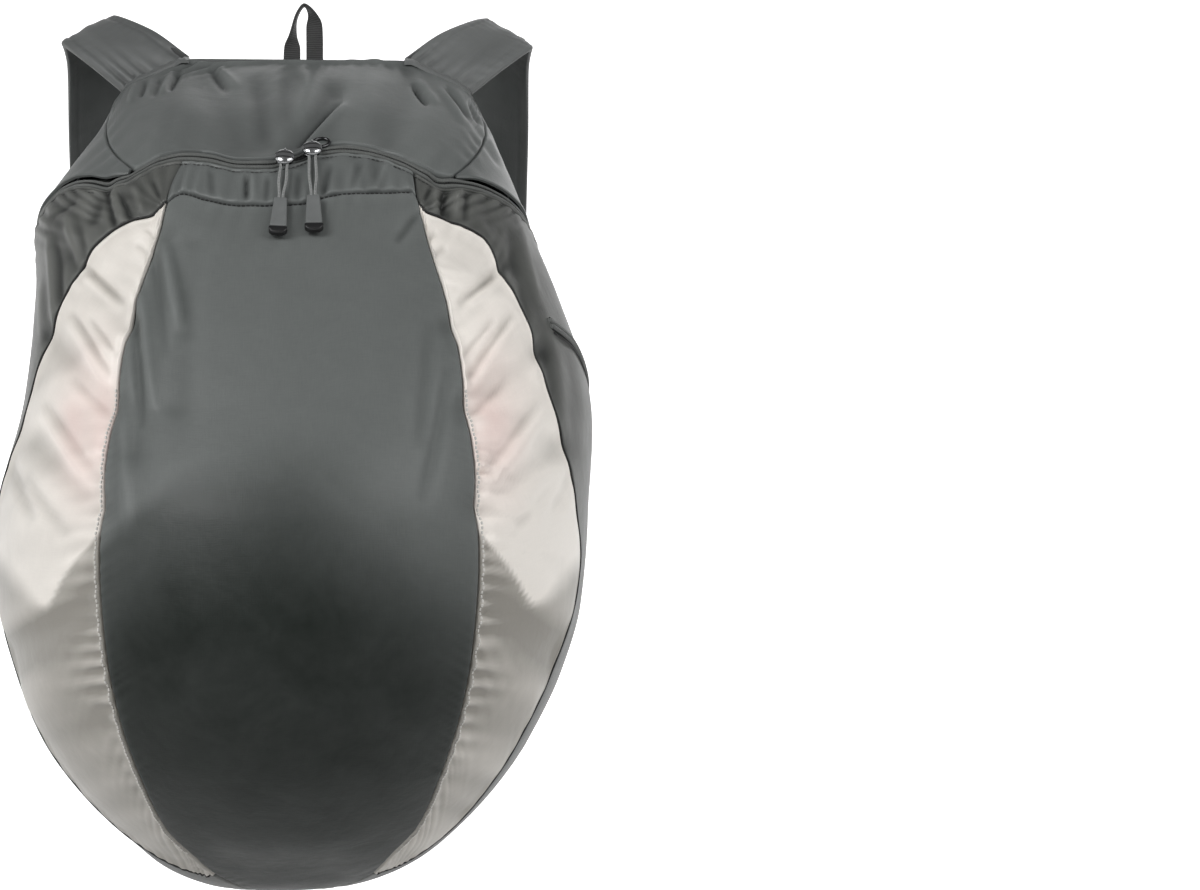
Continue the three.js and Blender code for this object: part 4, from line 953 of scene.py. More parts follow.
def inner_spot(side, down):
    across = HALF_WIDTH * inner_across(down)
    return around_at(-across if side == "left" else across, down), down


def outer_spot(side, down):
    start = BACK_EDGE[side]
    return mix(start, inner_spot(side, down)[0], outer_share[side](down)), down


def inner_row(t):
    return mix(SEAM_TOP, SEAM_BOTTOM, np.clip(t, 0, 1) ** 1.15)


def outer_row(t):
    late = np.clip(t, 0, 1) ** 1.35
    return mix(SEAM_TOP, SEAM_BOTTOM, late - 0.8 * np.sin(2 * math.pi * late) / (2 * math.pi))


def lower(around, down, offset):
    """The down of a spot that lies a length further down the cloth."""
    return down + offset / length_of(slopes(around, down)[1])[..., 0]


def zip_down(around, offset=0.0):
    return lower(around, zip_middle(around), offset)


def front_panel():
    rows = np.concatenate([np.linspace(0, 1, 221), 1 + np.linspace(0, 1, 25)[1:]])[:, None]
    columns = eased(120, 0.55)[None]
    below = np.clip(rows - 1, 0, 1)
    down = mix(inner_row(rows), 1.0, below)
    left = -HALF_WIDTH * inner_across(down)
    drop = band_seam(columns) - SEAM_TOP
    cloth_down = down + drop * smoothstep(0.12, 0, rows)
    cloth = Cloth(around_at(mix(left, -left, columns), cloth_down), cloth_down)
    run = cloth.top[:, :1]
    cloth.lift += roll(cloth.left) + roll(cloth.right) + roll(cloth.top, 2.0 * MM, 1.0 * MM)
    low = smoothstep(0.3, 0.55, cloth.down)
    strength = 0.35 + 0.65 * low
    for distance, seed in ((cloth.left, 3), (cloth.right, 8)):
        cloth.lift += pucker(run, distance, (6.5, 8, 0.35), 0.5, seed) * strength
    cloth.lift += pucker(cloth.left[:1], cloth.top, (11, 20, 0.4), 0.15, 5)
    cloth.lift -= 2.2 * creases(cloth.points, FRONT_CREASES)
    sway = wander(cloth.points[..., 0] / 0.05, cloth.points[..., 2] / 0.16, 4)
    cloth.lift += 0.9 * MM * sway * smoothstep(0, 0.03, np.minimum(cloth.left, cloth.right))
    # Painted shade: the tone drops below a wavy line across the panel, drops further lower down and a little
    # more at the foot, where the panel faces down away from the light
    edge = front_painted_shade_line
    soft = mix(0.014, 0.075, smoothstep(-0.5, 0.3, cloth.across))
    line = edge(cloth.across) + 0.006 * wander(cloth.across * 5, 0, 6)
    dark = smoothstep(line - soft, line + soft, cloth.down)
    foot = smoothstep(0.85, 0.93, cloth.down + 0.02 * cloth.across)
    deep = smoothstep(line, line + 0.17, cloth.down)
    cloth.tone = 0.85 - 0.43 * dark - 0.365 * deep - 0.05 * foot
    return cloth_piece("front_panel", cloth, "front", "charcoal_nylon")


def front_band():
    half = HALF_WIDTH * INNER_SEAM[0][1]
    columns = eased(170, 0.3)[None]
    rows = eased(22, 0.5)[:, None]
    low = band_seam(columns)
    around = around_at(mix(-half, half, columns), low)
    high = zip_down(around, ZIP_OPENING / 2)
    cloth = Cloth(np.broadcast_to(around, (23, 171)), mix(high, low, rows))
    run = cloth.left[-1:]
    cloth.lift += roll(cloth.left, 0.3 * MM) + roll(cloth.right, 1.6 * MM)
    cloth.lift += roll(cloth.bottom, 2.6 * MM, 1.3 * MM) + roll(cloth.top, 1.8 * MM, 0.9 * MM)
    cloth.lift += ridge(cloth.top, 1.8, 0.8, 0.5)
    cloth.lift -= ridge(cloth.top, HEM, 0.6, 0.9)
    cloth.lift += pucker(run, cloth.bottom, (9, 14, 0.9), 0.1, 21)
    cloth.lift += pucker(run, cloth.top, (14, 18, 0.7), 0.0, 24)
    cloth.lift -= 1.8 * creases(cloth.points, BAND_CREASES)
    cloth.tone += -0.28 + 0.2 * wander(run / (12 * MM), cloth.top / (30 * MM), 27)
    return cloth_piece("front_band", cloth, "top", "charcoal_nylon", shade=0.35)


def crescent(side):
    t = eased(250, 0.3)[:, None]
    trim = 0.0015 * (smoothstep(0.01, 0, t) - smoothstep(0.99, 1, t))
    columns = eased(48, 0.7)[None]
    outer = outer_spot(side, outer_row(t) + trim)
    inner = inner_spot(side, inner_row(t) + trim)
    if side == "right":
        outer, inner = inner, outer
    cloth = Cloth(mix(outer[0], inner[0], columns), mix(outer[1], inner[1], columns))
    seam, free = (cloth.right, cloth.left) if side == "left" else (cloth.left, cloth.right)
    run = cloth.top[:, -1:] if side == "left" else cloth.top[:, :1]
    away = np.abs(cloth.across)
    for distance in (seam, free):
        cloth.lift += roll(distance, 1.1 * MM, 0.9 * MM)
        cloth.lift += ridge(distance, 2.2, 1.0, 0.35)
    low = smoothstep(0.42, 0.52, cloth.down) * smoothstep(0.86, 0.72, cloth.down)
    seed = 31 if side == "left" else 37
    level = -cloth.points[..., 2]
    cloth.lift += pucker(level, seam, (9.5, 17, 2.4), -0.1, seed) * (0.15 + 0.85 * low)
    cloth.lift += pucker(run, seam, (12, 26, 1.1), -0.7, seed + 3) * (1 - 0.6 * low)
    cloth.lift += pucker(run, free, (13, 12, 0.35), 0.5, seed + 7)
    flipped = side == "left"
    at_seam = mix(0.25, 1.0, smoothstep(0, 0.011, free))
    cloth.lift -= 1.7 * creases(cloth.points, CRESCENT_CREASES, mirrored=flipped) * at_seam
    wave = wander((cloth.points[..., 2] + 0.7 * away * HALF_WIDTH) / 0.03, away * 2.0, seed + 9)
    ripple = wander((cloth.points[..., 2] + 0.5 * away * HALF_WIDTH) / 0.013, away * 3.5, seed + 10)
    cloth.lift += (2.0 * MM * wave + 0.8 * MM * ripple) * smoothstep(0, 0.012, np.minimum(seam, free))
    # Painted shade: below a line the crescent turns to its shaded tone, where it faces away from the light
    edge = crescent_painted_shade_line
    soft = mix(0.02, 0.0045, smoothstep(0.84, 0.76, away))
    dark = smoothstep(edge(away) - soft, edge(away) + soft, cloth.down)
    bright, shaded_tone = CRESCENT_PAINTED_LIGHT_TONES[side]
    # The wide waves also get painted highlight and shade in the tone; the foot is painted lighter and the top
    # a touch darker
    cloth.tone = mix(bright, shaded_tone, dark) + 0.14 * wave + 0.05 * ripple
    cloth.tone += 0.16 * smoothstep(0.7, 0.82, cloth.down) - 0.03 * smoothstep(0.35, 0.2, cloth.down)
    spread = ((away - 0.64) / 0.1) ** 2 + ((cloth.down - 0.44) / 0.075) ** 2
    streak = 0.75 + 0.25 * wander(cloth.down * 30, away * 14, seed + 12)
    cloth.tint = 0.75 * np.exp(-spread) * streak
    name = f"reflective_panel_{side}"
    cloth_piece(name, cloth, "reflective", "reflective_fabric", shade=0.2)
    # A black tube along the crescent's outer seam stands in for the shadow in the seam: painted shadow
    line, way, _ = cloth.line_beside(free, 0.0, 1.3 * MM)
    piece = tube_piece(f"crescent_{side}_seam_shadow_cord", line, unit(way), 0.6 * MM, 8)
    finish_piece(piece, "coil", "zip_coil", "bag")
    sewn = (inner_row(t[:, 0]) > 0.4) & (inner_row(t[:, 0]) < 0.93)
    line = [part[sewn] for part in cloth.line_beside(seam, 1.5 * MM, 0.1 * MM)]
    name = f"crescent_{side}_stitches"
    return stitches(name, *line, "light_thread", "reflective_fabric", BOLD_STITCH_RADIUS)


def side_panel(side):
    back = BACK_EDGE[side]
    tip = inner_spot(side, np.array(SEAM_TOP))[0]
    corner = outer_row(np.array(SIDE_CORNER))
    parts = [np.linspace(0, SIDE_CORNER, 91), np.linspace(SIDE_CORNER, 1, 130), 1 + np.linspace(0, 1, 18)]
    t = np.concatenate([parts[0], parts[1][1:], parts[2][1:]])[:, None]
    below = np.clip(t - 1, 0, 1)
    foot = inner_spot(side, mix(SEAM_BOTTOM, 1.0, below))
    body = outer_spot(side, outer_row(t))
    seam_around = np.where(t > 1, foot[0], body[0])
    seam_down = np.where(t > 1, foot[1], body[1])
    edge_around = mix(tip, back, np.minimum(t / SIDE_CORNER, 1))
    start = zip_down(edge_around, ZIP_OPENING / 2)
    rest = np.maximum(seam_down - corner, 0) / (1 - corner)
    edge_down = mix(start, 1.0, rest)
    columns = eased(60, 0.55)[None]
    if side == "left":
        cloth = Cloth(mix(edge_around, seam_around, columns), mix(edge_down, seam_down, columns))
        seam, edge = cloth.right, cloth.left
        run = cloth.top[:, -1:]
    else:
        cloth = Cloth(mix(seam_around, edge_around, columns), mix(seam_down, edge_down, columns))
        seam, edge = cloth.left, cloth.right
        run = cloth.top[:, :1]
    at_zip = smoothstep(SIDE_CORNER, SIDE_CORNER - 0.03, t)
    cloth.lift += roll(seam) + roll(edge, 1.2 * MM, 0.9 * MM)
    cloth.lift += roll(cloth.top, 0.3 * MM if side == "left" else 1.6 * MM)
    cloth.lift += (ridge(edge, 1.8, 0.8, 0.5) - ridge(edge, HEM, 0.5, 0.5)) * at_zip
    seed = 41 if side == "left" else 47
    edge_run = cloth.top[:, :1] if side == "left" else cloth.top[:, -1:]
    cloth.lift += pucker(edge_run, edge, (13, 26, 0.8), 0.1, seed) * (0.35 + 0.65 * at_zip)
    cloth.lift += pucker(run, seam, (8, 10, 0.35), 0.4, seed + 3)
    cloth.lift -= 1.2 * creases(cloth.points, SIDE_CREASES)
    streak = wander(cloth.around * 30 + cloth.down * 6, cloth.down * 5, seed + 6)
    inside = smoothstep(0, 0.02, np.minimum(seam, edge)) * smoothstep(0.95, 0.8, cloth.down)
    cloth.lift += 0.7 * MM * (streak - 0.8) * inside
    # Painted light: the tone differs by side to match the light, and the lower part is painted darker as
    # shade
    cloth.tone = SIDE_TONE_WITH_PAINTED_LIGHT[side] + 0.2 * wander(cloth.around * 22, cloth.down * 6, seed + 9)
    cloth.tone -= 0.25 * smoothstep(0.45, 0.75, cloth.down)
    return cloth_piece(f"side_panel_{side}", cloth, "side", "charcoal_nylon", shade=0.55)


def top_panel():
    left, right = GUSSET_ZIP_AROUND["left"], GUSSET_ZIP_AROUND["right"]
    u = eased(210, 0.25)[None]
    v = eased(110, 0.4)[:, None]
    side = np.minimum(u, 1 - u)
    top_around = np.clip((u - SHOULDER_SHARE) / (1 - 2 * SHOULDER_SHARE), 0, 1)
    top_down = np.where(side < SHOULDER_SHARE, mix(GUSSET_TOP_DOWN, 0, side / SHOULDER_SHARE), 0)
    zip_around = mix(left, right, u)
    zip_edge = zip_down(zip_around, -ZIP_OPENING / 2)
    cloth = Cloth(mix(top_around, zip_around, v), mix(top_down, zip_edge, v))
    ends = np.minimum(cloth.left, cloth.right)
    cloth.lift += roll(ends, 1.8 * MM, 1.0 * MM) + roll(cloth.bottom, 2.2 * MM, 1.0 * MM)
    cloth.lift += ridge(cloth.top, 0, 3.5, 1.6)
    cloth.lift += ridge(cloth.bottom, 1.8, 0.9, 0.45)
    near_root = smoothstep(0.3, 0.2, np.abs(np.abs(cloth.across) - 0.5))
    run = cloth.left[:1] + 0 * cloth.top
    cloth.lift += pucker(run, cloth.top, (8, 24, 1.4), 0.35, 51) * (0.2 + 0.8 * near_root)
    cloth.lift += pucker(cloth.left[-1:], cloth.bottom, (15, 26, 0.55), 0.1, 54)
    cloth.lift += pucker(cloth.top[:, :1], cloth.left, (16, 12, 0.35), 0.3, 57)
    cloth.lift += pucker(cloth.top[:, -1:], cloth.right, (14, 12, 0.45), 0.3, 59)
    cloth.lift -= 2.2 * creases(cloth.points, TOP_CREASES)
    streak = wander(cloth.across * 11 + cloth.down * 4, cloth.down * 6, 61)
    fine = wander(cloth.across * 26 + cloth.down * 9, cloth.down * 9, 62)
    inside = smoothstep(0, 0.015, ends) * smoothstep(0, 0.015, cloth.bottom)
    cloth.lift += (1.3 * MM * streak + 0.35 * MM * fine) * inside
    cloth.tone = 0.76 + 0.2 * wander(cloth.across * 10, cloth.down * 8, 64)
    # Painted light: the right half is painted lighter, and the streak folds get painted highlight and shade
    cloth.tone += 0.1 * smoothstep(0, 0.3, cloth.across) + 0.1 * streak
    return cloth_piece("top_panel", cloth, "top", "charcoal_nylon")


def top_gusset(side):
    """The gusset hangs a little open over the zip, so that a dark gap shows under its edge."""
    end = GUSSET_ZIP_AROUND[side]
    start = BACK_EDGE[side]
    v = (eased(100, 0.2) * 0.97)[:, None]
    u = eased(34, 0.5)[None]
    around = mix(start, end, v)
    seam = mix(GUSSET_TOP_DOWN, zip_down(np.array(end), -ZIP_OPENING / 2), v)
    low = zip_down(around, -ZIP_OPENING / 2)
    cloth = Cloth(np.broadcast_to(around, (101, 35)), mix(seam, low, u))
    at_seam, at_zip = cloth.left, cloth.right
    cloth.lift += roll(at_seam, 1.6 * MM, 0.9 * MM)
    open_edge = smoothstep(0.2, 0.45, v) * smoothstep(1.0, 0.8, v)
    cloth.lift += 2.2 * MM * open_edge * np.exp(-at_zip / (7 * MM))
    cloth.lift += roll(at_zip, 0.7 * MM, 0.8 * MM)
    seed = 71 if side == "left" else 74
    cloth.lift += pucker(cloth.top[:, :1], at_seam, (17, 16, 0.5), 0.4, seed)
    x, z = cloth.points[..., 0], cloth.points[..., 2]
    cloth.lift += 0.4 * MM * wander(x / (26 * MM), z / (14 * MM), seed + 5)
    cloth.lift -= creases(cloth.points, GUSSET_CREASES)
    cloth.tone = 0.75 + 0.2 * wander(cloth.down * 30, cloth.around * 12, seed + 3)
    return cloth_piece(f"top_gusset_{side}", cloth, "top", "charcoal_nylon")


def zip_tape(name, direction):
    around = np.linspace(*LINE_ENDS, 641)[:, None]
    reach, raised = (np.array(column)[None] for column in zip(*TAPE_SECTION))
    parted = 1.5 * np.exp(-(((around - 0.5085) / 0.006) ** 2)) * np.clip((2.9 - reach) / 1.6, 0, 1)
    offset = direction * (reach + parted) * MM
    down = zip_down(around, offset)
    cloth = Cloth(np.broadcast_to(around, down.shape), down)
    run = cloth.top[:, :1]
    low_left = smoothstep(0.06, 0.14, around) * smoothstep(0.34, 0.28, around)
    low_right = smoothstep(0.7, 0.74, around) * smoothstep(0.93, 0.86, around)
    sunk = (low_left + low_right) * np.clip((-offset / MM - 1.6) / 2.2, 0, 1) * 1.6 * MM
    cloth.lift = cloth.lift + raised * MM - sunk
    cloth.lift += 0.16 * MM * wander(run / (9 * MM), offset / (3 * MM), 81)
    way = np.stack([offset + 0 * down, run + 0 * down], axis=-1)
    outer = cloth.spots() + BODY_SHIFT
    inner = cloth.spots(-TAPE_THICK) + BODY_SHIFT
    piece = shell(f"{name}_strip", outer, inner, way)
    return finish_piece(piece, "tape", "zip_tape", "bag", name)


def zip_spot(around, offset, raised):
    """A point over the zip's middle line, with the directions along it, across it and out of it."""
    around = np.asarray(around, float)
    before, after = np.maximum(around - STEP, 0), np.minimum(around + STEP, 1)
    way = unit(smooth_point(after, zip_down(after)) - smooth_point(before, zip_down(before)))
    down = zip_down(around, offset)
    out = outward(around, down)
    point = smooth_point(around, down)
    point = point + out * (raised - main_folds(point))[..., None]
    return point + BODY_SHIFT, way, np.cross(out, way), out


def repeated(name, places, box, smooth=30.0):
    """Small bars, one at each place. A place is its middle and three directions; box its half sizes."""
    corners = np.array([(x, y, z) for x in (-1, 1) for y in (-1, 1) for z in (-1, 1)], float)
    shrink = np.array([0.62, 1.0, 0.62])
    ring = [corners * np.array([1.0, 0.62, 1.0]) * box, corners * shrink * box]
    bar = np.concatenate([ring[0], ring[1]])
    ends = [(8, 9, 13, 12), (10, 14, 15, 11)]
    joins = [(0, 1, 9, 8), (1, 5, 13, 9), (5, 4, 12, 13), (4, 0, 8, 12)]
    joins += [(3, 2, 10, 11), (2, 6, 14, 10), (6, 7, 15, 14), (7, 3, 11, 15)]
    sides = [(0, 1, 3, 2), (5, 4, 6, 7), (4, 0, 2, 6), (1, 5, 7, 3)]
    faces = np.array(sides + ends + joins)
    middle, x, y, z = places
    points = middle[:, None] + bar[:, :1] * x[:, None] + bar[:, 1:2] * y[:, None] + bar[:, 2:] * z[:, None]
    count = len(middle)
    every = (faces[None] + 16 * np.arange(count)[:, None, None]).reshape(-1, 4)
    return make_mesh(name, points, every, smooth=smooth)


def zip_length():
    around = np.linspace(*LINE_ENDS, 801)
    line = smooth_point(around, zip_middle(around))
    return around, run_along(line)[:, 0]


def zip_coil():
    """The coil: short bars across the zip that interlock."""
    around, run = zip_length()
    stations = np.interp(np.arange(0.5 * COIL_PITCH, run[-1], COIL_PITCH / 2), run, around)
    swing = np.where(np.arange(len(stations)) % 2 == 0, 0.3, -0.3) * MM
    places = zip_spot(stations, swing, -COIL_SINK)
    box = np.array([0.24 * COIL_PITCH, COIL_WIDTH / 2 - 0.3 * MM, COIL_THICK / 2])
    piece = repeated("zip_coil_bars", places, box)
    return finish_piece(piece, "coil", "zip_coil", "bag", "zip_coil")


def stitches(name, middle, way, out, look="thread", slot="charcoal_nylon", radius=STITCH_RADIUS):
    """A row of stitches along a line of points."""
    run = run_along(middle)[:, 0]
    at = np.arange(STITCH_PITCH, run[-1] - STITCH_PITCH / 2, STITCH_PITCH)
    pick = [together(*(np.interp(at, run, line[:, k]) for k in range(3))) for line in (middle, way, out)]
    x = unit(pick[1])
    z = unit(pick[2] - (pick[2] * x).sum(axis=-1, keepdims=True) * x)
    y = np.cross(z, x)
    box = np.array([radius, 0.33 * STITCH_PITCH, radius])
    piece = repeated(name, (pick[0], y, x, z), box, 60.0)
    return finish_piece(piece, look, slot, "bag")


def cloth_line(around, down, raised):
    """Middle, way and outward direction of a line of spots on the body."""
    point = smooth_point(around, down)
    out = outward(around, down)
    middle = point + out * (raised - main_folds(point))[:, None]
    way = np.gradient(middle, axis=0)
    return middle + BODY_SHIFT, way, out


def zip_stitches():
    around = np.linspace(0.02, 0.98, 600)
    low = zip_down(around, ZIP_OPENING / 2 + HEM * MM)
    return stitches("zip_hem_stitches", *cloth_line(around, low, -0.42 * MM))


def band_stitches():
    """The dark dashes of the seam under the gathered band."""
    half = HALF_WIDTH * INNER_SEAM[0][1]
    share = np.linspace(0.03, 0.97, 300)
    low = band_seam(share)
    around = around_at(mix(-half, half, share), low)
    down = low + 0.9 * MM / BODY_HEIGHT
    line = cloth_line(around, down, -0.5 * MM)
    return stitches("band_seam_stitches", *line, "dark_thread", radius=BOLD_STITCH_RADIUS)


def rim_rows(top, middle, foot):
    """Downs of the back's edge, closer together at its round corners."""
    parts = [np.linspace(0, 0.08, top), np.linspace(0.08, 0.93, middle), np.linspace(0.93, 1, foot)]
    return np.concatenate([parts[0], parts[1][1:], parts[2][1:]])


def edge_piping():
    rows = rim_rows(16, 100, 24)
    left = smooth_point(np.zeros_like(rows), rows)[::-1]
    right = smooth_point(np.ones_like(rows), rows)
    top = [mix(left[-1], right[0], share) for share in np.linspace(0, 1, 30)[1:-1]]
    low = [mix(right[-1], left[0], share) for share in np.linspace(0, 1, 14)[1:-1]]
    rim = np.concatenate([left, np.array(top), right, np.array(low)])
    for _ in range(2):
        rim = (np.roll(rim, 1, 0) + 2 * rim + np.roll(rim, -1, 0)) / 4
    rim[:, 1] = PIPING_RADIUS + SEAM_GAP
    way = loop_way(rim)
    return tube_piece("piping_cord", rim + BODY_SHIFT, way, PIPING_RADIUS, 12, closed=True)


def loop_way(line):
    """The direction along a closed line at each of its points."""
    return unit(np.roll(line, -1, 0) - np.roll(line, 1, 0))


def tube_piece(name, line, way, radius, sides, closed=False, start=(0, 1, 0)):
    """A round tube along a line of points."""
    count = len(line)
    across = np.broadcast_to(np.array(start, float), line.shape)
    across = unit(across - (across * way).sum(axis=-1, keepdims=True) * way)
    off = np.cross(way, across)
    turns = np.linspace(0, 2 * math.pi, sides, endpoint=False)
    ring = across[:, None] * np.cos(turns)[None, :, None] + off[:, None] * np.sin(turns)[None, :, None]
    points = (line[:, None] + radius * ring).reshape(-1, 3)
    run = run_along(line)[:, 0]
    uv = together((turns / (2 * math.pi))[None], run[:, None])
    k = np.arange(sides)
    rows = np.arange(count if closed else count - 1)[:, None]
    after = (rows + 1) % count
    beside = (k + 1) % sides
    rows, after = rows * sides, after * sides
    faces = together(rows + k, after + k, after + beside, rows + beside).reshape(-1, 4)
    if not closed:
        caps = len(points)
        points = np.concatenate([points, line[:1], line[-1:]])
        uv = np.concatenate([uv.reshape(-1, 2), uv[0, :1], uv[-1, :1]])
        ends = [(caps, (j + 1) % sides, j) for j in range(sides)]
        last = (count - 1) * sides
        ends += [(caps + 1, last + j, last + (j + 1) % sides) for j in range(sides)]
        return tube_mesh(name, points, faces, ends, uv)
    # Painted light: a closed tube's tone is light along its top, painted as lit, and dark below, painted as
    # shade; only the piping's material reads it
    tone = smoothstep(-0.14, -0.1, points[:, 2])
    return make_mesh(name, points, faces, uv, {"tone": tone}, 180)


def tube_mesh(name, points, faces, ends, uv):
    """A tube's quads with the triangles of its two closed ends."""
    piece = new_piece(name, points.tolist(), faces.tolist() + ends, uv)
    select_only(piece)
    bpy.ops.object.mode_set(mode="EDIT")
    bpy.ops.mesh.select_all(action="SELECT")
    bpy.ops.mesh.normals_make_consistent(inside=False)
    bpy.ops.object.mode_set(mode="OBJECT")
    return piece


def back_panel():
    """The padded back: soft channels between sewn lines, swelling from its rim."""
    rows = rim_rows(14, 110, 16)
    rim = []
    for side in (0.0, 1.0):
        edge = smooth_point(np.full_like(rows, side), rows)
        way = unit(np.gradient(edge, axis=0))
        inwards = np.cross(way, np.array([0, 1, 0])) * (1 if side == 0 else -1)
        inset = PIPING_RADIUS + 2 * SEAM_GAP
        edge = edge + inwards * inset * np.sign((inwards[:, :1]) * (1 if side == 0 else -1))
        edge[:, 2] = np.clip(edge[:, 2], -BODY_HEIGHT + inset, -inset)
        rim.append(edge)
    columns = eased(90, 0.3)[None, :, None]
    inner = mix(rim[0][:, None], rim[1][:, None], columns)
    inner[..., 1] = SEAM_GAP
    width = length_of(rim[1] - rim[0])
    side = np.minimum(columns[..., 0], 1 - columns[..., 0]) * width
    z = inner[..., 2]
    edge = np.minimum(side, np.minimum(-z, BODY_HEIGHT + z))
    fall = np.clip(edge / BACK_PAD_FALL, 0, 1)
    swell = np.sin(fall * math.pi / 2)
    thick = mix(BACK_PAD_EDGE, BACK_PAD, swell)
    x = inner[..., 0]
    down = -z / BODY_HEIGHT
    spine = np.exp(-((x / (9 * MM)) ** 2)) * smoothstep(0.09, 0.13, down) * smoothstep(0.86, 0.8, down)
    channel = np.abs(np.sin(math.pi * down * 7)) ** 0.5
    in_field = smoothstep(14 * MM, 22 * MM, edge)
    thick = thick - 2.2 * MM * (1 - channel) * in_field - 2.4 * MM * spine
    thick = thick + 0.3 * MM * wander(x / 0.03, z / 0.03, 91) * in_field
    thick = thick - ridge(edge, 6, 1.2, 0.9)
    outer = inner.copy()
    outer[..., 1] = SEAM_GAP + np.clip(thick, BACK_PAD_EDGE * 0.5, BACK_PAD)
    uv = inner[..., [0, 2]]
    piece = shell("back_pad", outer + BODY_SHIFT, inner + BODY_SHIFT, uv)
    finish_piece(piece, "back", "dark_nylon", "bag", "back_panel")
    return piece


def strap_edge(edge, share):
    columns = {"out": strap_curves[:3], "in": strap_curves[3:]}[edge]
    across, back, down = (curve(share) for curve in columns)
    return together(-HALF_WIDTH * across, STRAP_REACH * back, -BODY_HEIGHT * down)


def strap_frame(side, u, v):
    """Points over the strap's middle surface with their outward directions."""
    flip = FLIP[side]

    def point(u, v):
        return mix(strap_edge("out", v), strap_edge("in", v), u[..., None]) * flip

    u, v = np.broadcast_arrays(u, v)
    step = 0.004
    way = point(u, np.minimum(v + step, 1)) - point(u, np.maximum(v - step, 0))
    across = point(np.ones_like(u), v) - point(np.zeros_like(u), v)
    return point(u, v), unit(np.cross(way, across)), unit(way), unit(across)


def strap(side):
    """A padded strap: flat bound edges, a soft swell between them and small gathers at its root."""
    u = eased(44, 0.75)[None]
    v = eased(190, 0.35)[:, None]
    middle, normal, _, _ = strap_frame(side, u, v)
    run = run_along(middle)[..., 0]
    width = length_of(middle[:, -1] - middle[:, 0])
    edge = np.minimum(u, 1 - u) * width
    swell = np.sqrt(np.clip(np.sin(math.pi * u), 0, 1)) * np.minimum(1, 0.35 + 5 * np.minimum(v, 1 - v))
    half = mix(STRAP_EDGE, STRAP_PAD, swell) / 2
    groove = ridge(edge, 5.5, 1.0, 0.45)
    seed = 101 if side == "left" else 107
    gather = pucker(u * width, run, (8, 18, 1.5), 0.0, seed)
    soft = 0.8 * MM * wander(run / 0.022, u * 3.2, seed + 4) + 0.5 * MM * wander(run / 0.011, u * 6, seed + 5)
    side_gather = pucker(run, edge, (7, 9, 0.4), 0.3, seed + 2)
    relief = (gather + soft + side_gather) * smoothstep(0, 4 * MM, edge) - groove
    upward = normal * (-1 if side == "left" else 1)
    outer = middle + upward * (half + relief)[..., None]
    inner = middle - upward * (half + 0.5 * relief)[..., None]
    uv = together(u * width, run)
    tone = STRAP_TONE_WITH_PAINTED_LIGHT[side] + 0.15 * wander(run / 0.03, u * 3, seed + 7)
    # Painted shade in the strap's folds and painted highlight on its ridges; the inner face is painted darker
    # as the shaded side
    tone += 0.22 * (relief - blurred(relief, 10)) / MM
    fields = {"tone": (tone, 0.22 * tone)}
    root_lap(side, outer[0], inner[0], u[0])
    piece = shell(f"strap_{side}_pad", outer + BODY_SHIFT, inner + BODY_SHIFT, uv, fields)
    finish_piece(piece, "strap", "charcoal_nylon", "bag", f"strap_{side}")
    strap_binding(side, "outer", 0.0, "binding")
    strap_binding(side, "inner", 1.0, "shaded_binding")
    return piece


def rim_height(across):
    """Height of the back's upper rim at a distance across, under the level of its top."""
    down = np.linspace(0, 0.2, 200)
    half = np.maximum.accumulate(section(down)[0])
    return -BODY_HEIGHT * np.interp(np.abs(across), half, down)


def root_lap(side, upper, lower, u):
    """The strap's cloth runs on over the piping and is sewn to the edge of the top panel."""
    share = np.linspace(0, 1, 12)[:, None, None]
    seed = 111 if side == "left" else 114

    def bridge(start, over, foot):
        x = start[:, 0]
        crest = np.stack([x, 0 * x + 2 * MM, rim_height(x) + over], axis=-1)
        end = np.stack([x, 0 * x - 4.5 * MM, rim_height(x) + foot], axis=-1)
        return (1 - share) ** 2 * start + 2 * share * (1 - share) * crest + share ** 2 * end

    run = np.linspace(0, 14 * MM, 12)[:, None]
    wave = np.sin(2 * math.pi * (u * 5 + wander(u * 5, 0, seed)))[None]
    gather = 0.5 * MM * wave * np.sin(math.pi * share[..., 0])
    taper = 1 - 0.45 * u ** 4
    outer = bridge(upper, 6.0 * MM * taper, 0.6 * MM)
    outer[..., 2] += gather
    inner = bridge(lower, 3.0 * MM * taper, -1.4 * MM)
    width = float(length_of(upper[-1] - upper[0])[0])
    uv = together(u[None] * width, run)
    fields = {"tone": STRAP_TONE_WITH_PAINTED_LIGHT[side] + 0 * run}
    piece = shell(f"strap_{side}_root", outer + BODY_SHIFT, inner + BODY_SHIFT, uv, fields)
    return finish_piece(piece, "strap", "charcoal_nylon", "bag")


def strap_binding(side, name, at, look):
    """A narrow folded tape round each edge of a strap."""
    v = np.linspace(*LINE_ENDS, 260)
    point, normal, way, across = strap_frame(side, np.full_like(v, at), v)
    inwards = across if at == 0.0 else -across
    half = STRAP_EDGE / 2 + 0.25 * MM
    grids = []
    for inset, share in ((0, 1), (0.25, 0.8)):
        rows = [inwards * (x + inset) * MM + normal * y * half * share for x, y in BINDING_SECTION]
        grids.append(point[:, None] + np.stack(rows, axis=1))
    outer, inner = grids
    run = run_along(point)
    uv = together(np.linspace(0, 8 * MM, len(BINDING_SECTION))[None], run)
    piece = shell(f"strap_{side}_{name}_binding", outer + BODY_SHIFT, inner + BODY_SHIFT, uv)
    return finish_piece(piece, look, "charcoal_nylon", "bag")


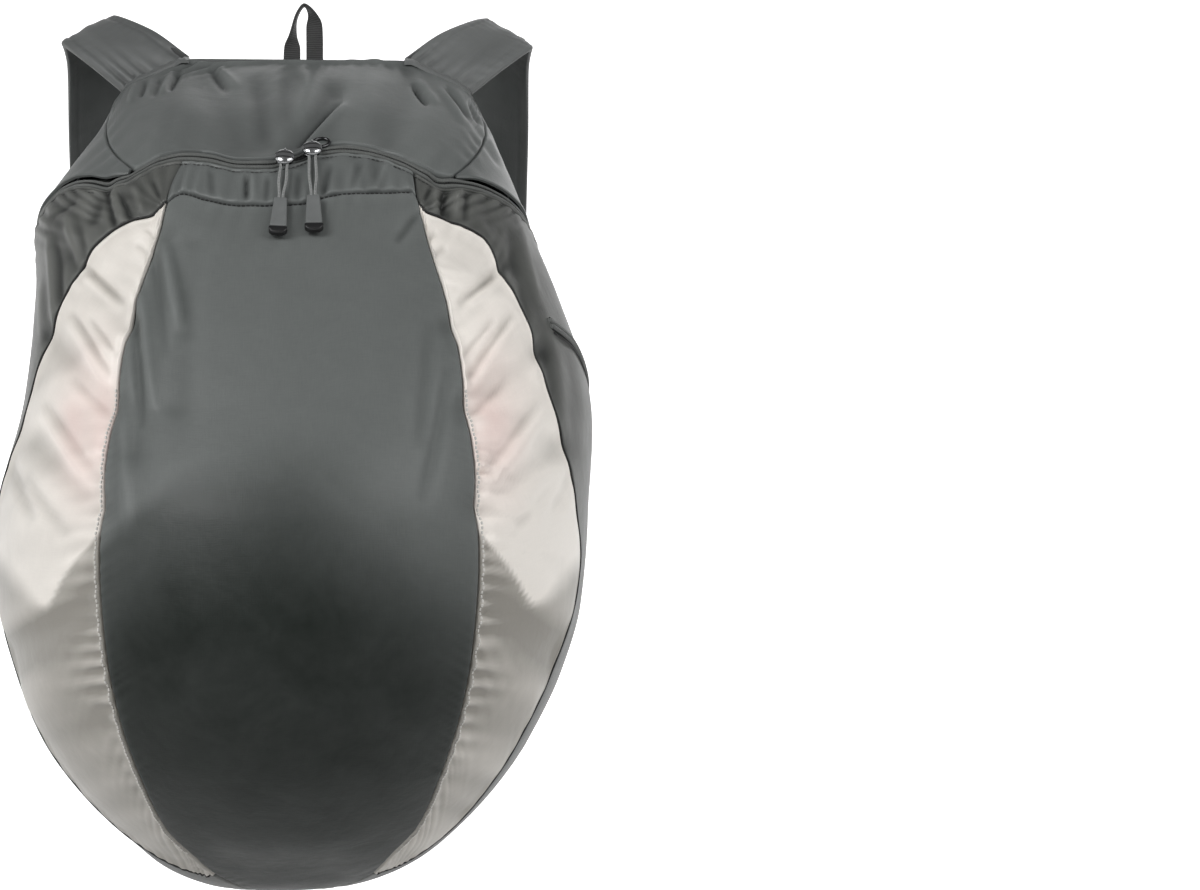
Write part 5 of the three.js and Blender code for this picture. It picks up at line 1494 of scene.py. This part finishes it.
def webbing_strip(name, middle, across, normal, width, node):
    """Flat webbing with rounded edges along a line of points."""
    shares, heights = WEBBING_SECTION[:, 0], WEBBING_SECTION[:, 1] * WEBBING_THICK / 2
    centre = middle[:, None] + across[:, None] * (shares * width)[None, :, None]
    outer = centre + normal[:, None] * heights[None, :, None]
    inner = centre - normal[:, None] * heights[None, :, None]
    run = run_along(middle)
    uv = together((shares * width)[None], run)
    piece = shell(name, outer, inner, uv)
    return finish_piece(piece, "webbing", "webbing", "bag", node)


def haul_loop():
    v = np.linspace(0, 1, 150)
    across_curve, up_curve, turn_curve = haul_curves

    def middle(share):
        up = LOOP_RISE * up_curve(share) + WEBBING_THICK / 2 - 0.03 * LOOP_RISE
        return np.stack([HAUL_WEBBING_WIDTH * across_curve(share), 0 * share, up], axis=-1)

    way = unit(middle(np.minimum(v + 0.01, 1)) - middle(np.maximum(v - 0.01, 0)))
    turn = np.radians(turn_curve(v))[:, None]
    flat = np.stack([way[:, 2], 0 * v, -way[:, 0]], axis=-1)
    across = unit(flat * np.cos(turn) + np.array([0, 1, 0]) * np.sin(turn))
    normal = unit(np.cross(way, across))
    return webbing_strip("haul_loop_webbing", middle(v), across, normal, HAUL_WEBBING_WIDTH, "haul_loop")


def strap_end(side):
    flip = FLIP[side]
    rows = [[strap_edge(edge, np.array(v)) * flip for edge in ("out", "in")] for v in (1.0, 0.95)]
    ends = [mix(out, within, 0.5) for out, within in rows]
    across = unit(rows[0][1] - rows[0][0])
    way = ends[0] - ends[1]
    way = unit(way - way @ across * across)
    down = 0.86
    rim = smooth_point(np.array(BACK_EDGE[side]), np.array(down))[0]
    inset = flip[0] * (STRAP_WEBBING_WIDTH / 2 + BACK_PAD_FALL / 2)
    rest = SEAM_GAP + BACK_PAD + 2 * SEAM_GAP + WEBBING_THICK / 2
    return ends[0], way, np.array([rim + inset, rest, -BODY_HEIGHT * down])


def smooth_line(points, count):
    """A centripetal curve through a few points."""
    points = [Vector(p) for p in points]
    ends = [2 * points[0] - points[1], *points, 2 * points[-1] - points[-2]]
    line = []
    for i in range(1, len(ends) - 2):
        p = ends[i - 1:i + 3]
        knots = [0.0]
        for a, b in zip(p, p[1:]):
            knots.append(knots[-1] + max((b - a).length, 1e-9) ** 0.5)
        steps = count // (len(points) - 1)
        for k in range(steps + (i == len(ends) - 3)):
            t = knots[1] + (knots[2] - knots[1]) * k / steps
            first = [a.lerp(b, (t - s) / (e - s)) for a, b, s, e in zip(p, p[1:], knots, knots[1:])]
            second = [a.lerp(b, (t - s) / (e - s)) for a, b, s, e in zip(first, first[1:], knots, knots[2:])]
            line.append(second[0].lerp(second[1], (t - knots[1]) / (knots[2] - knots[1])))
    return np.array([tuple(point) for point in line])


def strap_webbing(side):
    end, way, anchor = strap_end(side)
    start = end + way * (ADJUSTER_HEIGHT + 2 * SEAM_GAP)
    line = smooth_line([
        start,
        start + way * 18 * MM,
        anchor + np.array([0, 4 * MM, STRAP_WEBBING_WIDTH]),
        anchor + np.array([0, 0.3 * MM, STRAP_WEBBING_WIDTH * 0.6]),
        anchor,
    ], 96)
    tangent = unit(np.gradient(line, axis=0))
    across = unit(np.array([1, 0, 0]) - tangent[:, :1] * tangent)
    normal = np.cross(tangent, across)
    name = f"strap_webbing_{side}"
    return webbing_strip(name + "_strip", line + BODY_SHIFT, across, normal, STRAP_WEBBING_WIDTH, name)


def pocket_zip():
    """A short welted zip: two lips with a black tube above them as a painted shadow, and two dark seams
    below.
    """
    share = np.linspace(0, 1, 120)[:, None]
    around, middle = (curve(share) for curve in pocket_curves)
    offset, raised = (np.array(column)[None] * MM for column in zip(*POCKET_SECTION))
    raised = raised + 0.5 * MM
    down = lower(around, middle, offset)
    cloth = Cloth(np.broadcast_to(around, down.shape), down)
    ends = np.minimum(share, 1 - share)
    lift = cloth.lift + raised * smoothstep(0, 0.03, ends)
    outer = cloth.points + cloth.out * lift[..., None]
    inner = cloth.points + cloth.out * (cloth.lift - 0.25 * MM)[..., None]
    uv = np.stack([offset + 0 * down, cloth.top], axis=-1)
    piece = shell("side_pocket_zip_welt", outer + BODY_SHIFT, inner + BODY_SHIFT, uv)
    finish_piece(piece, "tape", "zip_tape", "bag", "side_pocket_zip")
    for name, offset, radius in POCKET_LINES:
        at, down = (curve(share[4:-4, 0]) for curve in pocket_curves)
        line, way, _ = cloth_line(at, lower(at, down, offset * MM), 0.3 * MM)
        piece = tube_piece(f"side_pocket_zip_{name}", line, unit(way), radius * MM, 8)
        finish_piece(piece, "coil", "zip_coil", "bag")
    return piece


def pull_frame(side):
    """The pull's pivot with its own directions: X along the hinge, -Y down the pull, Z out of the cloth."""
    around = SLIDER_AROUND[side]
    spot = np.array(around)
    out = outward(spot, zip_middle(spot))
    point = smooth_point(spot, zip_middle(spot))
    middle = point - out * main_folds(point)
    pivot = middle + out * BRIDGE_HEIGHT
    length = RING_LENGTH + CORD_LENGTH[side] + GRIP_LENGTH
    down = zip_down(spot, length)
    target_around = around_at(np.array(pivot[0] + PULL_LEAN[side] * length), down)
    lift = GRIP_THICK / 2 + PULL_CLEARANCE
    target = smooth_point(target_around, down) + outward(target_around, down) * lift
    y = unit(pivot - target)
    x = unit(np.array([1, 0, 0]) - y[0] * y)
    z = np.cross(x, y)
    turned = Matrix(np.stack([x, y, z], axis=1).tolist()).to_4x4()
    return Matrix.Translation(Vector(pivot + BODY_SHIFT)) @ turned


def settle(piece, place):
    """Puts a piece's place into its mesh."""
    piece.data.transform(place)
    piece.data.update()
    return piece


def pull_cord(side, place):
    top = -(RING_LENGTH + RING_INSIDE + RING_WIRE)
    low = top - CORD_LENGTH[side]
    turn = RING_WIRE + SEAM_GAP + CORD_RADIUS
    strand = CORD_RADIUS + SEAM_GAP
    bow = turn + 0.25 * MM
    half_way = mix(low, top, 0.5)
    shape = [(-strand, low, 0), (-strand, low + 4 * MM, 0), (-bow, half_way, 0), (-turn, top - 3 * MM, 0)]
    for i in range(5):
        angle = math.pi * (1 - i / 4)
        shape.append((turn * math.cos(angle), top + turn * math.sin(angle), 0))
    shape += [(turn, top - 3 * MM, 0), (bow, half_way, 0), (strand, low + 4 * MM, 0), (strand, low, 0)]
    line = smooth_line(shape, 110)
    way = unit(np.gradient(line, axis=0))
    piece = tube_piece(f"pull_cord_{side}_braid", line, way, CORD_RADIUS, 12, start=(0, 0, 1))
    settle(piece, place)
    return finish_piece(piece, "cord", "pull_cord", f"pull_{side}", f"pull_cord_{side}")


def rounded(piece, width):
    """A moulded piece with its edges rounded over."""
    select_only(piece)
    bevel = piece.modifiers.new("Bevel", "BEVEL")
    bevel.width, bevel.segments = width, 3
    bevel.limit_method, bevel.angle_limit = "ANGLE", math.radians(50)
    bpy.ops.object.modifier_apply(modifier=bevel.name)
    finer = piece.modifiers.new("Subsurf", "SUBSURF")
    finer.levels = finer.render_levels = 1
    bpy.ops.object.modifier_apply(modifier=finer.name)
    bpy.ops.object.shade_smooth()


def bar(name, size, location, cuts):
    """A box, divided evenly."""
    bpy.ops.object.select_all(action="DESELECT")
    bpy.ops.mesh.primitive_cube_add(size=1, location=location)
    piece = sized(name, size)
    bpy.ops.object.mode_set(mode="EDIT")
    bpy.ops.mesh.select_all(action="SELECT")
    bpy.ops.mesh.subdivide(number_cuts=cuts)
    bpy.ops.object.mode_set(mode="OBJECT")
    return piece


def upper_ball(name, steps, location, size, cuts=()):
    """A flattened ball's upper half. Each further cut is a point and the direction that stays."""
    bpy.ops.object.select_all(action="DESELECT")
    bpy.ops.mesh.primitive_uv_sphere_add(segments=steps[0], ring_count=steps[1], radius=1, location=location)
    piece = sized(name, size)
    bpy.ops.object.mode_set(mode="EDIT")
    for point, keep in [((0, 0, location[2]), (0, 0, 1)), *cuts]:
        bpy.ops.mesh.select_all(action="SELECT")
        bpy.ops.mesh.bisect(plane_co=point, plane_no=keep, use_fill=True, clear_inner=True)
    bpy.ops.object.mode_set(mode="OBJECT")
    return piece


def sized(name, size):
    """Names the new solid and puts its size and place into its mesh."""
    piece = bpy.context.object
    piece.name = name
    piece.scale = size
    bpy.ops.object.transform_apply(location=True, rotation=True, scale=True)
    return piece


def widened(piece, top, bottom, top_width, bottom_width):
    """Tapers a bar between two heights."""
    for vertex in piece.data.vertices:
        share = (top - vertex.co.y) / (top - bottom)
        vertex.co.x *= mix(top_width, bottom_width, share) / bottom_width


def pull_grip(side, place):
    """A moulded grip that widens to its foot, with a thumb hollow, and a dark rounded cap."""
    top = -(RING_LENGTH + RING_INSIDE + RING_WIRE) - CORD_LENGTH[side] - SEAM_GAP
    bottom = top - GRIP_LENGTH
    cap_top = bottom + GRIP_CAP
    body_length = top - cap_top - 0.25 * MM
    size = (GRIP_END_WIDTH, body_length, GRIP_THICK)
    grip = bar(f"pull_grip_{side}_body", size, (0, top - body_length / 2, 0), 5)
    widened(grip, top, bottom, GRIP_TOP_WIDTH, GRIP_END_WIDTH)
    hollow_at = mix(top, cap_top, 0.62)
    for vertex in grip.data.vertices:
        near = math.exp(-(((vertex.co.y - hollow_at) / (5 * MM)) ** 2 + (vertex.co.x / (3 * MM)) ** 2))
        if abs(vertex.co.z) > GRIP_THICK * 0.45:
            vertex.co.z -= math.copysign(0.45 * MM * near, vertex.co.z)
    rounded(grip, 1.0 * MM)
    settle(grip, place)
    finish_piece(grip, "grip", "grip_plastic", f"pull_{side}", f"pull_grip_{side}")
    size = (GRIP_END_WIDTH + 0.3 * MM, GRIP_CAP, GRIP_THICK)
    cap = bar(f"pull_grip_{side}_cap", size, (0, bottom + GRIP_CAP / 2, 0), 4)
    for vertex in cap.data.vertices:
        foot = max(0.0, (cap_top - 1.2 * MM - vertex.co.y) / (GRIP_CAP - 1.2 * MM))
        vertex.co.x *= 1 - 0.32 * foot ** 2.2
        vertex.co.z *= 1 - 0.3 * foot ** 2.5
        vertex.co.y += 1.0 * MM * foot * (2 * abs(vertex.co.x) / GRIP_END_WIDTH) ** 2
    rounded(cap, 0.8 * MM)
    settle(cap, place)
    return finish_piece(cap, "cap", "grip_plastic", f"pull_{side}")


def slider_frame(side):
    """The slider's place: X along the zip, Y across it, Z out of the cloth."""
    spot = np.array(SLIDER_AROUND[side])
    middle, way, up, out = zip_spot(spot, 0.0, 0.0)
    turned = Matrix(np.stack([way, up, out], axis=1).tolist()).to_4x4()
    return Matrix.Translation(Vector(middle)) @ turned


def half_dome(name, size, low):
    """A flat-bottomed dome, its rim rounded over."""
    piece = upper_ball(name, (40, 20), (0, 0, 0), (1, 1, 1))
    for vertex in piece.data.vertices:
        x, y, z = vertex.co
        reach = max(math.hypot(x, y), 1e-6)
        square = max(abs(x), abs(y)) / reach
        grow = 1 + 0.16 * (1 - square) * reach
        vertex.co = (x * grow * size[0] / 2, y * grow * size[1] / 2, low + max(z, 0.0) ** 0.7 * size[2])
    return piece


def pull_head(side, place):
    """The pull's domed plate over its ring, with two dark lines across it."""
    parts = [("head", 1.0, None, "metal")]
    parts += [(f"head_line_{i}", 1.02, line, "cap") for i, line in enumerate(HEAD_LINES)]
    for name, grow, line, look in parts:
        cuts = [((0, line + way * HEAD_LINE_HALF, 0), (0, -way, 0)) for way in (-1, 1)] if line else []
        size = tuple(value * MM * grow for value in HEAD_HALF)
        piece = upper_ball(f"pull_{name}_{side}", (48, 28), HEAD_PLACE, size, cuts)
        keep_edges(piece)
        settle(piece, place)
        finish_piece(piece, look, "gunmetal", f"pull_{side}")


def lock_loop():
    """A dark oval loop beside the right slider."""
    angle = np.linspace(0, 2 * math.pi, 48, endpoint=False)
    line = together(LOCK_LOOP_HALF[0] * np.cos(angle), LOCK_LOOP_HALF[1] * np.sin(angle), 0)
    way = loop_way(line)
    piece = tube_piece("slider_right_loop", line, way, LOCK_LOOP_WIRE, 14, closed=True, start=(0, 0, 1))
    place = slider_frame("right") @ Matrix.Translation(LOCK_LOOP_PLACE)
    settle(piece, place @ Matrix.Rotation(LOCK_LOOP_TURN, 4, "Z"))
    return finish_piece(piece, "dark_metal", "gunmetal", "bag")


def slider_body(side):
    """A plated slider: a domed plate and its bridge."""
    size = (SLIDER_LENGTH, SLIDER_WIDTH, SLIDER_PLATE + 0.7 * MM)
    plate = half_dome(f"slider_{side}_dome", size, SLIDER_LOW)
    keep_edges(plate)
    settle(plate, slider_frame(side))
    finish_piece(plate, "dark_metal", "gunmetal", "bag", f"slider_{side}")
    half = BRIDGE_SPAN / 2 - BRIDGE_THICK / 2
    height = BRIDGE_HEIGHT
    shape = [(-half, 0, SLIDER_LOW + SLIDER_PLATE * 0.5), (-half, 0, height - 1.3 * MM)]
    shape.append((-half + 0.9 * MM, 0, height - 0.2 * MM))
    shape += [(0, 0, height + 0.1 * MM)] + [(-x, y, z) for x, y, z in shape[::-1]]
    line = smooth_line(shape, 60)
    way = unit(np.gradient(line, axis=0))
    bridge = tube_piece(f"slider_{side}_bridge", line, way, BRIDGE_THICK / 2, 14, start=(0, 1, 0))
    for vertex in bridge.data.vertices:
        vertex.co.y *= BRIDGE_WIDTH / BRIDGE_THICK
    settle(bridge, slider_frame(side))
    return finish_piece(bridge, "metal", "gunmetal", "bag")


def pull_ring(side, place):
    """A wire ring, long and narrow, whose upper turn goes round the bridge."""
    turn = RING_INSIDE + RING_WIRE
    line = []
    for middle, start in ((0.0, 0.0), (-RING_LENGTH, math.pi)):
        for angle in np.linspace(0, math.pi, 22) + start:
            line.append((0, middle + turn * math.sin(angle), turn * math.cos(angle)))
    line = np.array(line)
    way = loop_way(line)
    piece = tube_piece(f"pull_ring_{side}_wire", line, way, RING_WIRE, 14, closed=True, start=(1, 0, 0))
    settle(piece, place)
    return finish_piece(piece, "metal", "gunmetal", f"pull_{side}", f"pull_ring_{side}")


def dress_node(name, look):
    """A CAD node that stays, with a finished material."""
    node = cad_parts[name]
    node.data.materials.clear()
    node.data.materials.append(looks[look])


def add_body():
    front_panel()
    front_band()
    top_panel()
    for side in SIDES:
        crescent(side)
        side_panel(side)
        top_gusset(side)
    back_panel()
    finish_piece(edge_piping(), "piping", "dark_nylon", "bag", "edge_piping")


def add_zip():
    zip_tape("zip_tape_upper", -1)
    zip_tape("zip_tape_lower", 1)
    zip_coil()
    zip_stitches()
    band_stitches()
    pocket_zip()
    for side in SIDES:
        place = pull_frame(side)
        pull_cord(side, place)
        pull_grip(side, place)
        slider_body(side)
        pull_ring(side, place)
        pull_head(side, place)
    lock_loop()


def add_straps():
    haul_loop()
    for side in SIDES:
        strap(side)
        strap_webbing(side)
        dress_node(f"strap_adjuster_{side}", "plastic")


def stage_sheet(name, drop, back, height, half, front):
    """The pale floor, turning up into a bright wall behind."""
    bend = 0.35
    line = [(front, drop), (back - bend, drop)]
    for a in np.linspace(0, math.pi / 2, 14):
        line.append((back - bend + bend * math.sin(a), drop + bend * (1 - math.cos(a))))
    line.append((back, height))
    points = [(x, y, z) for y, z in line for x in (-half, half)]
    faces = [(2 * i, 2 * i + 1, 2 * i + 3, 2 * i + 2) for i in range(len(line) - 1)]
    piece = new_piece(name, points, faces)
    look = Look("stage_white")
    dust = look.noise(look.object(), 0.6, 2.0)
    base = look.blend(dust, (0.74, 0.74, 0.74), (0.8, 0.8, 0.8))
    fade = 1.0
    for axis, low, high in ((1, back - 0.5, back - 0.35), (2, 0.75, 0.45)):
        inputs = {"Value": look.part(look.object(), axis), "From Min": low, "From Max": high}
        fade = look.node("ShaderNodeMapRange", {"clamp": True}, inputs) * fade
    glow = look.blend(fade, (0.12, 0.12, 0.12), (1, 1, 1))
    look.set(base_color=base, roughness=0.9, emission_color=glow, emission_strength=1.0)
    piece.data.materials.append(look.material)
    return piece


def area_light(name, place, target, size, power):
    light = bpy.data.lights.new(name, "AREA")
    light.shape = "RECTANGLE"
    light.size, light.size_y = size
    light.energy = power
    piece = bpy.data.objects.new(name, light)
    piece.location = place
    piece.rotation_euler = (Vector(target) - Vector(place)).to_track_quat("-Z", "Y").to_euler()
    bpy.context.scene.collection.objects.link(piece)
    return piece


# name, place, target, size, watts
LIGHTS = [
    ("key_left", (-1.4, -1.95, 1.05), (0, -0.12, -0.25), (1.3, 1.0), 38),
    ("key_right", (1.6, -1.9, 0.9), (0, -0.12, -0.25), (1.6, 1.2), 24),
    ("left_side", (-2.3, -0.5, 0.3), (0, -0.12, -0.25), (1.4, 1.6), 6.5),
    ("right_side", (2.3, -0.5, 0.3), (0, -0.12, -0.25), (1.4, 1.6), 5),
    ("back_soft", (0.5, 2.1, 0.9), (0, 0, -0.3), (2.0, 1.4), 12),
]
ROOM_LIGHT = 0.16
CAMERA_PLACE = (30.3 * MM, -1995.6 * MM, -261.5 * MM)
CAMERA_TURN = (math.radians(90), 0, math.radians(-4.2))
CAMERA_LENS = 100


def add_studio():
    stage_sheet("stage", drop=-1.25, back=3.0, height=3.6, half=14.0, front=-9.0)
    for row in LIGHTS:
        area_light(*row)
    world = bpy.data.worlds.new("studio")
    world.use_nodes = True
    world.node_tree.nodes["Background"].inputs["Color"].default_value = (1, 1, 1, 1)
    world.node_tree.nodes["Background"].inputs["Strength"].default_value = ROOM_LIGHT
    bpy.context.scene.world = world
    bpy.context.scene.view_settings.view_transform = "Standard"


def add_camera():
    data = bpy.data.cameras.new("view")
    data.sensor_fit = "HORIZONTAL"
    data.sensor_width = 36
    data.lens = CAMERA_LENS
    data.clip_end = 30
    camera = bpy.data.objects.new("view", data)
    camera.location = CAMERA_PLACE
    camera.rotation_euler = CAMERA_TURN
    bpy.context.scene.collection.objects.link(camera)
    bpy.context.scene.camera = camera


add_camera()
add_body()
add_zip()
add_straps()
add_studio()
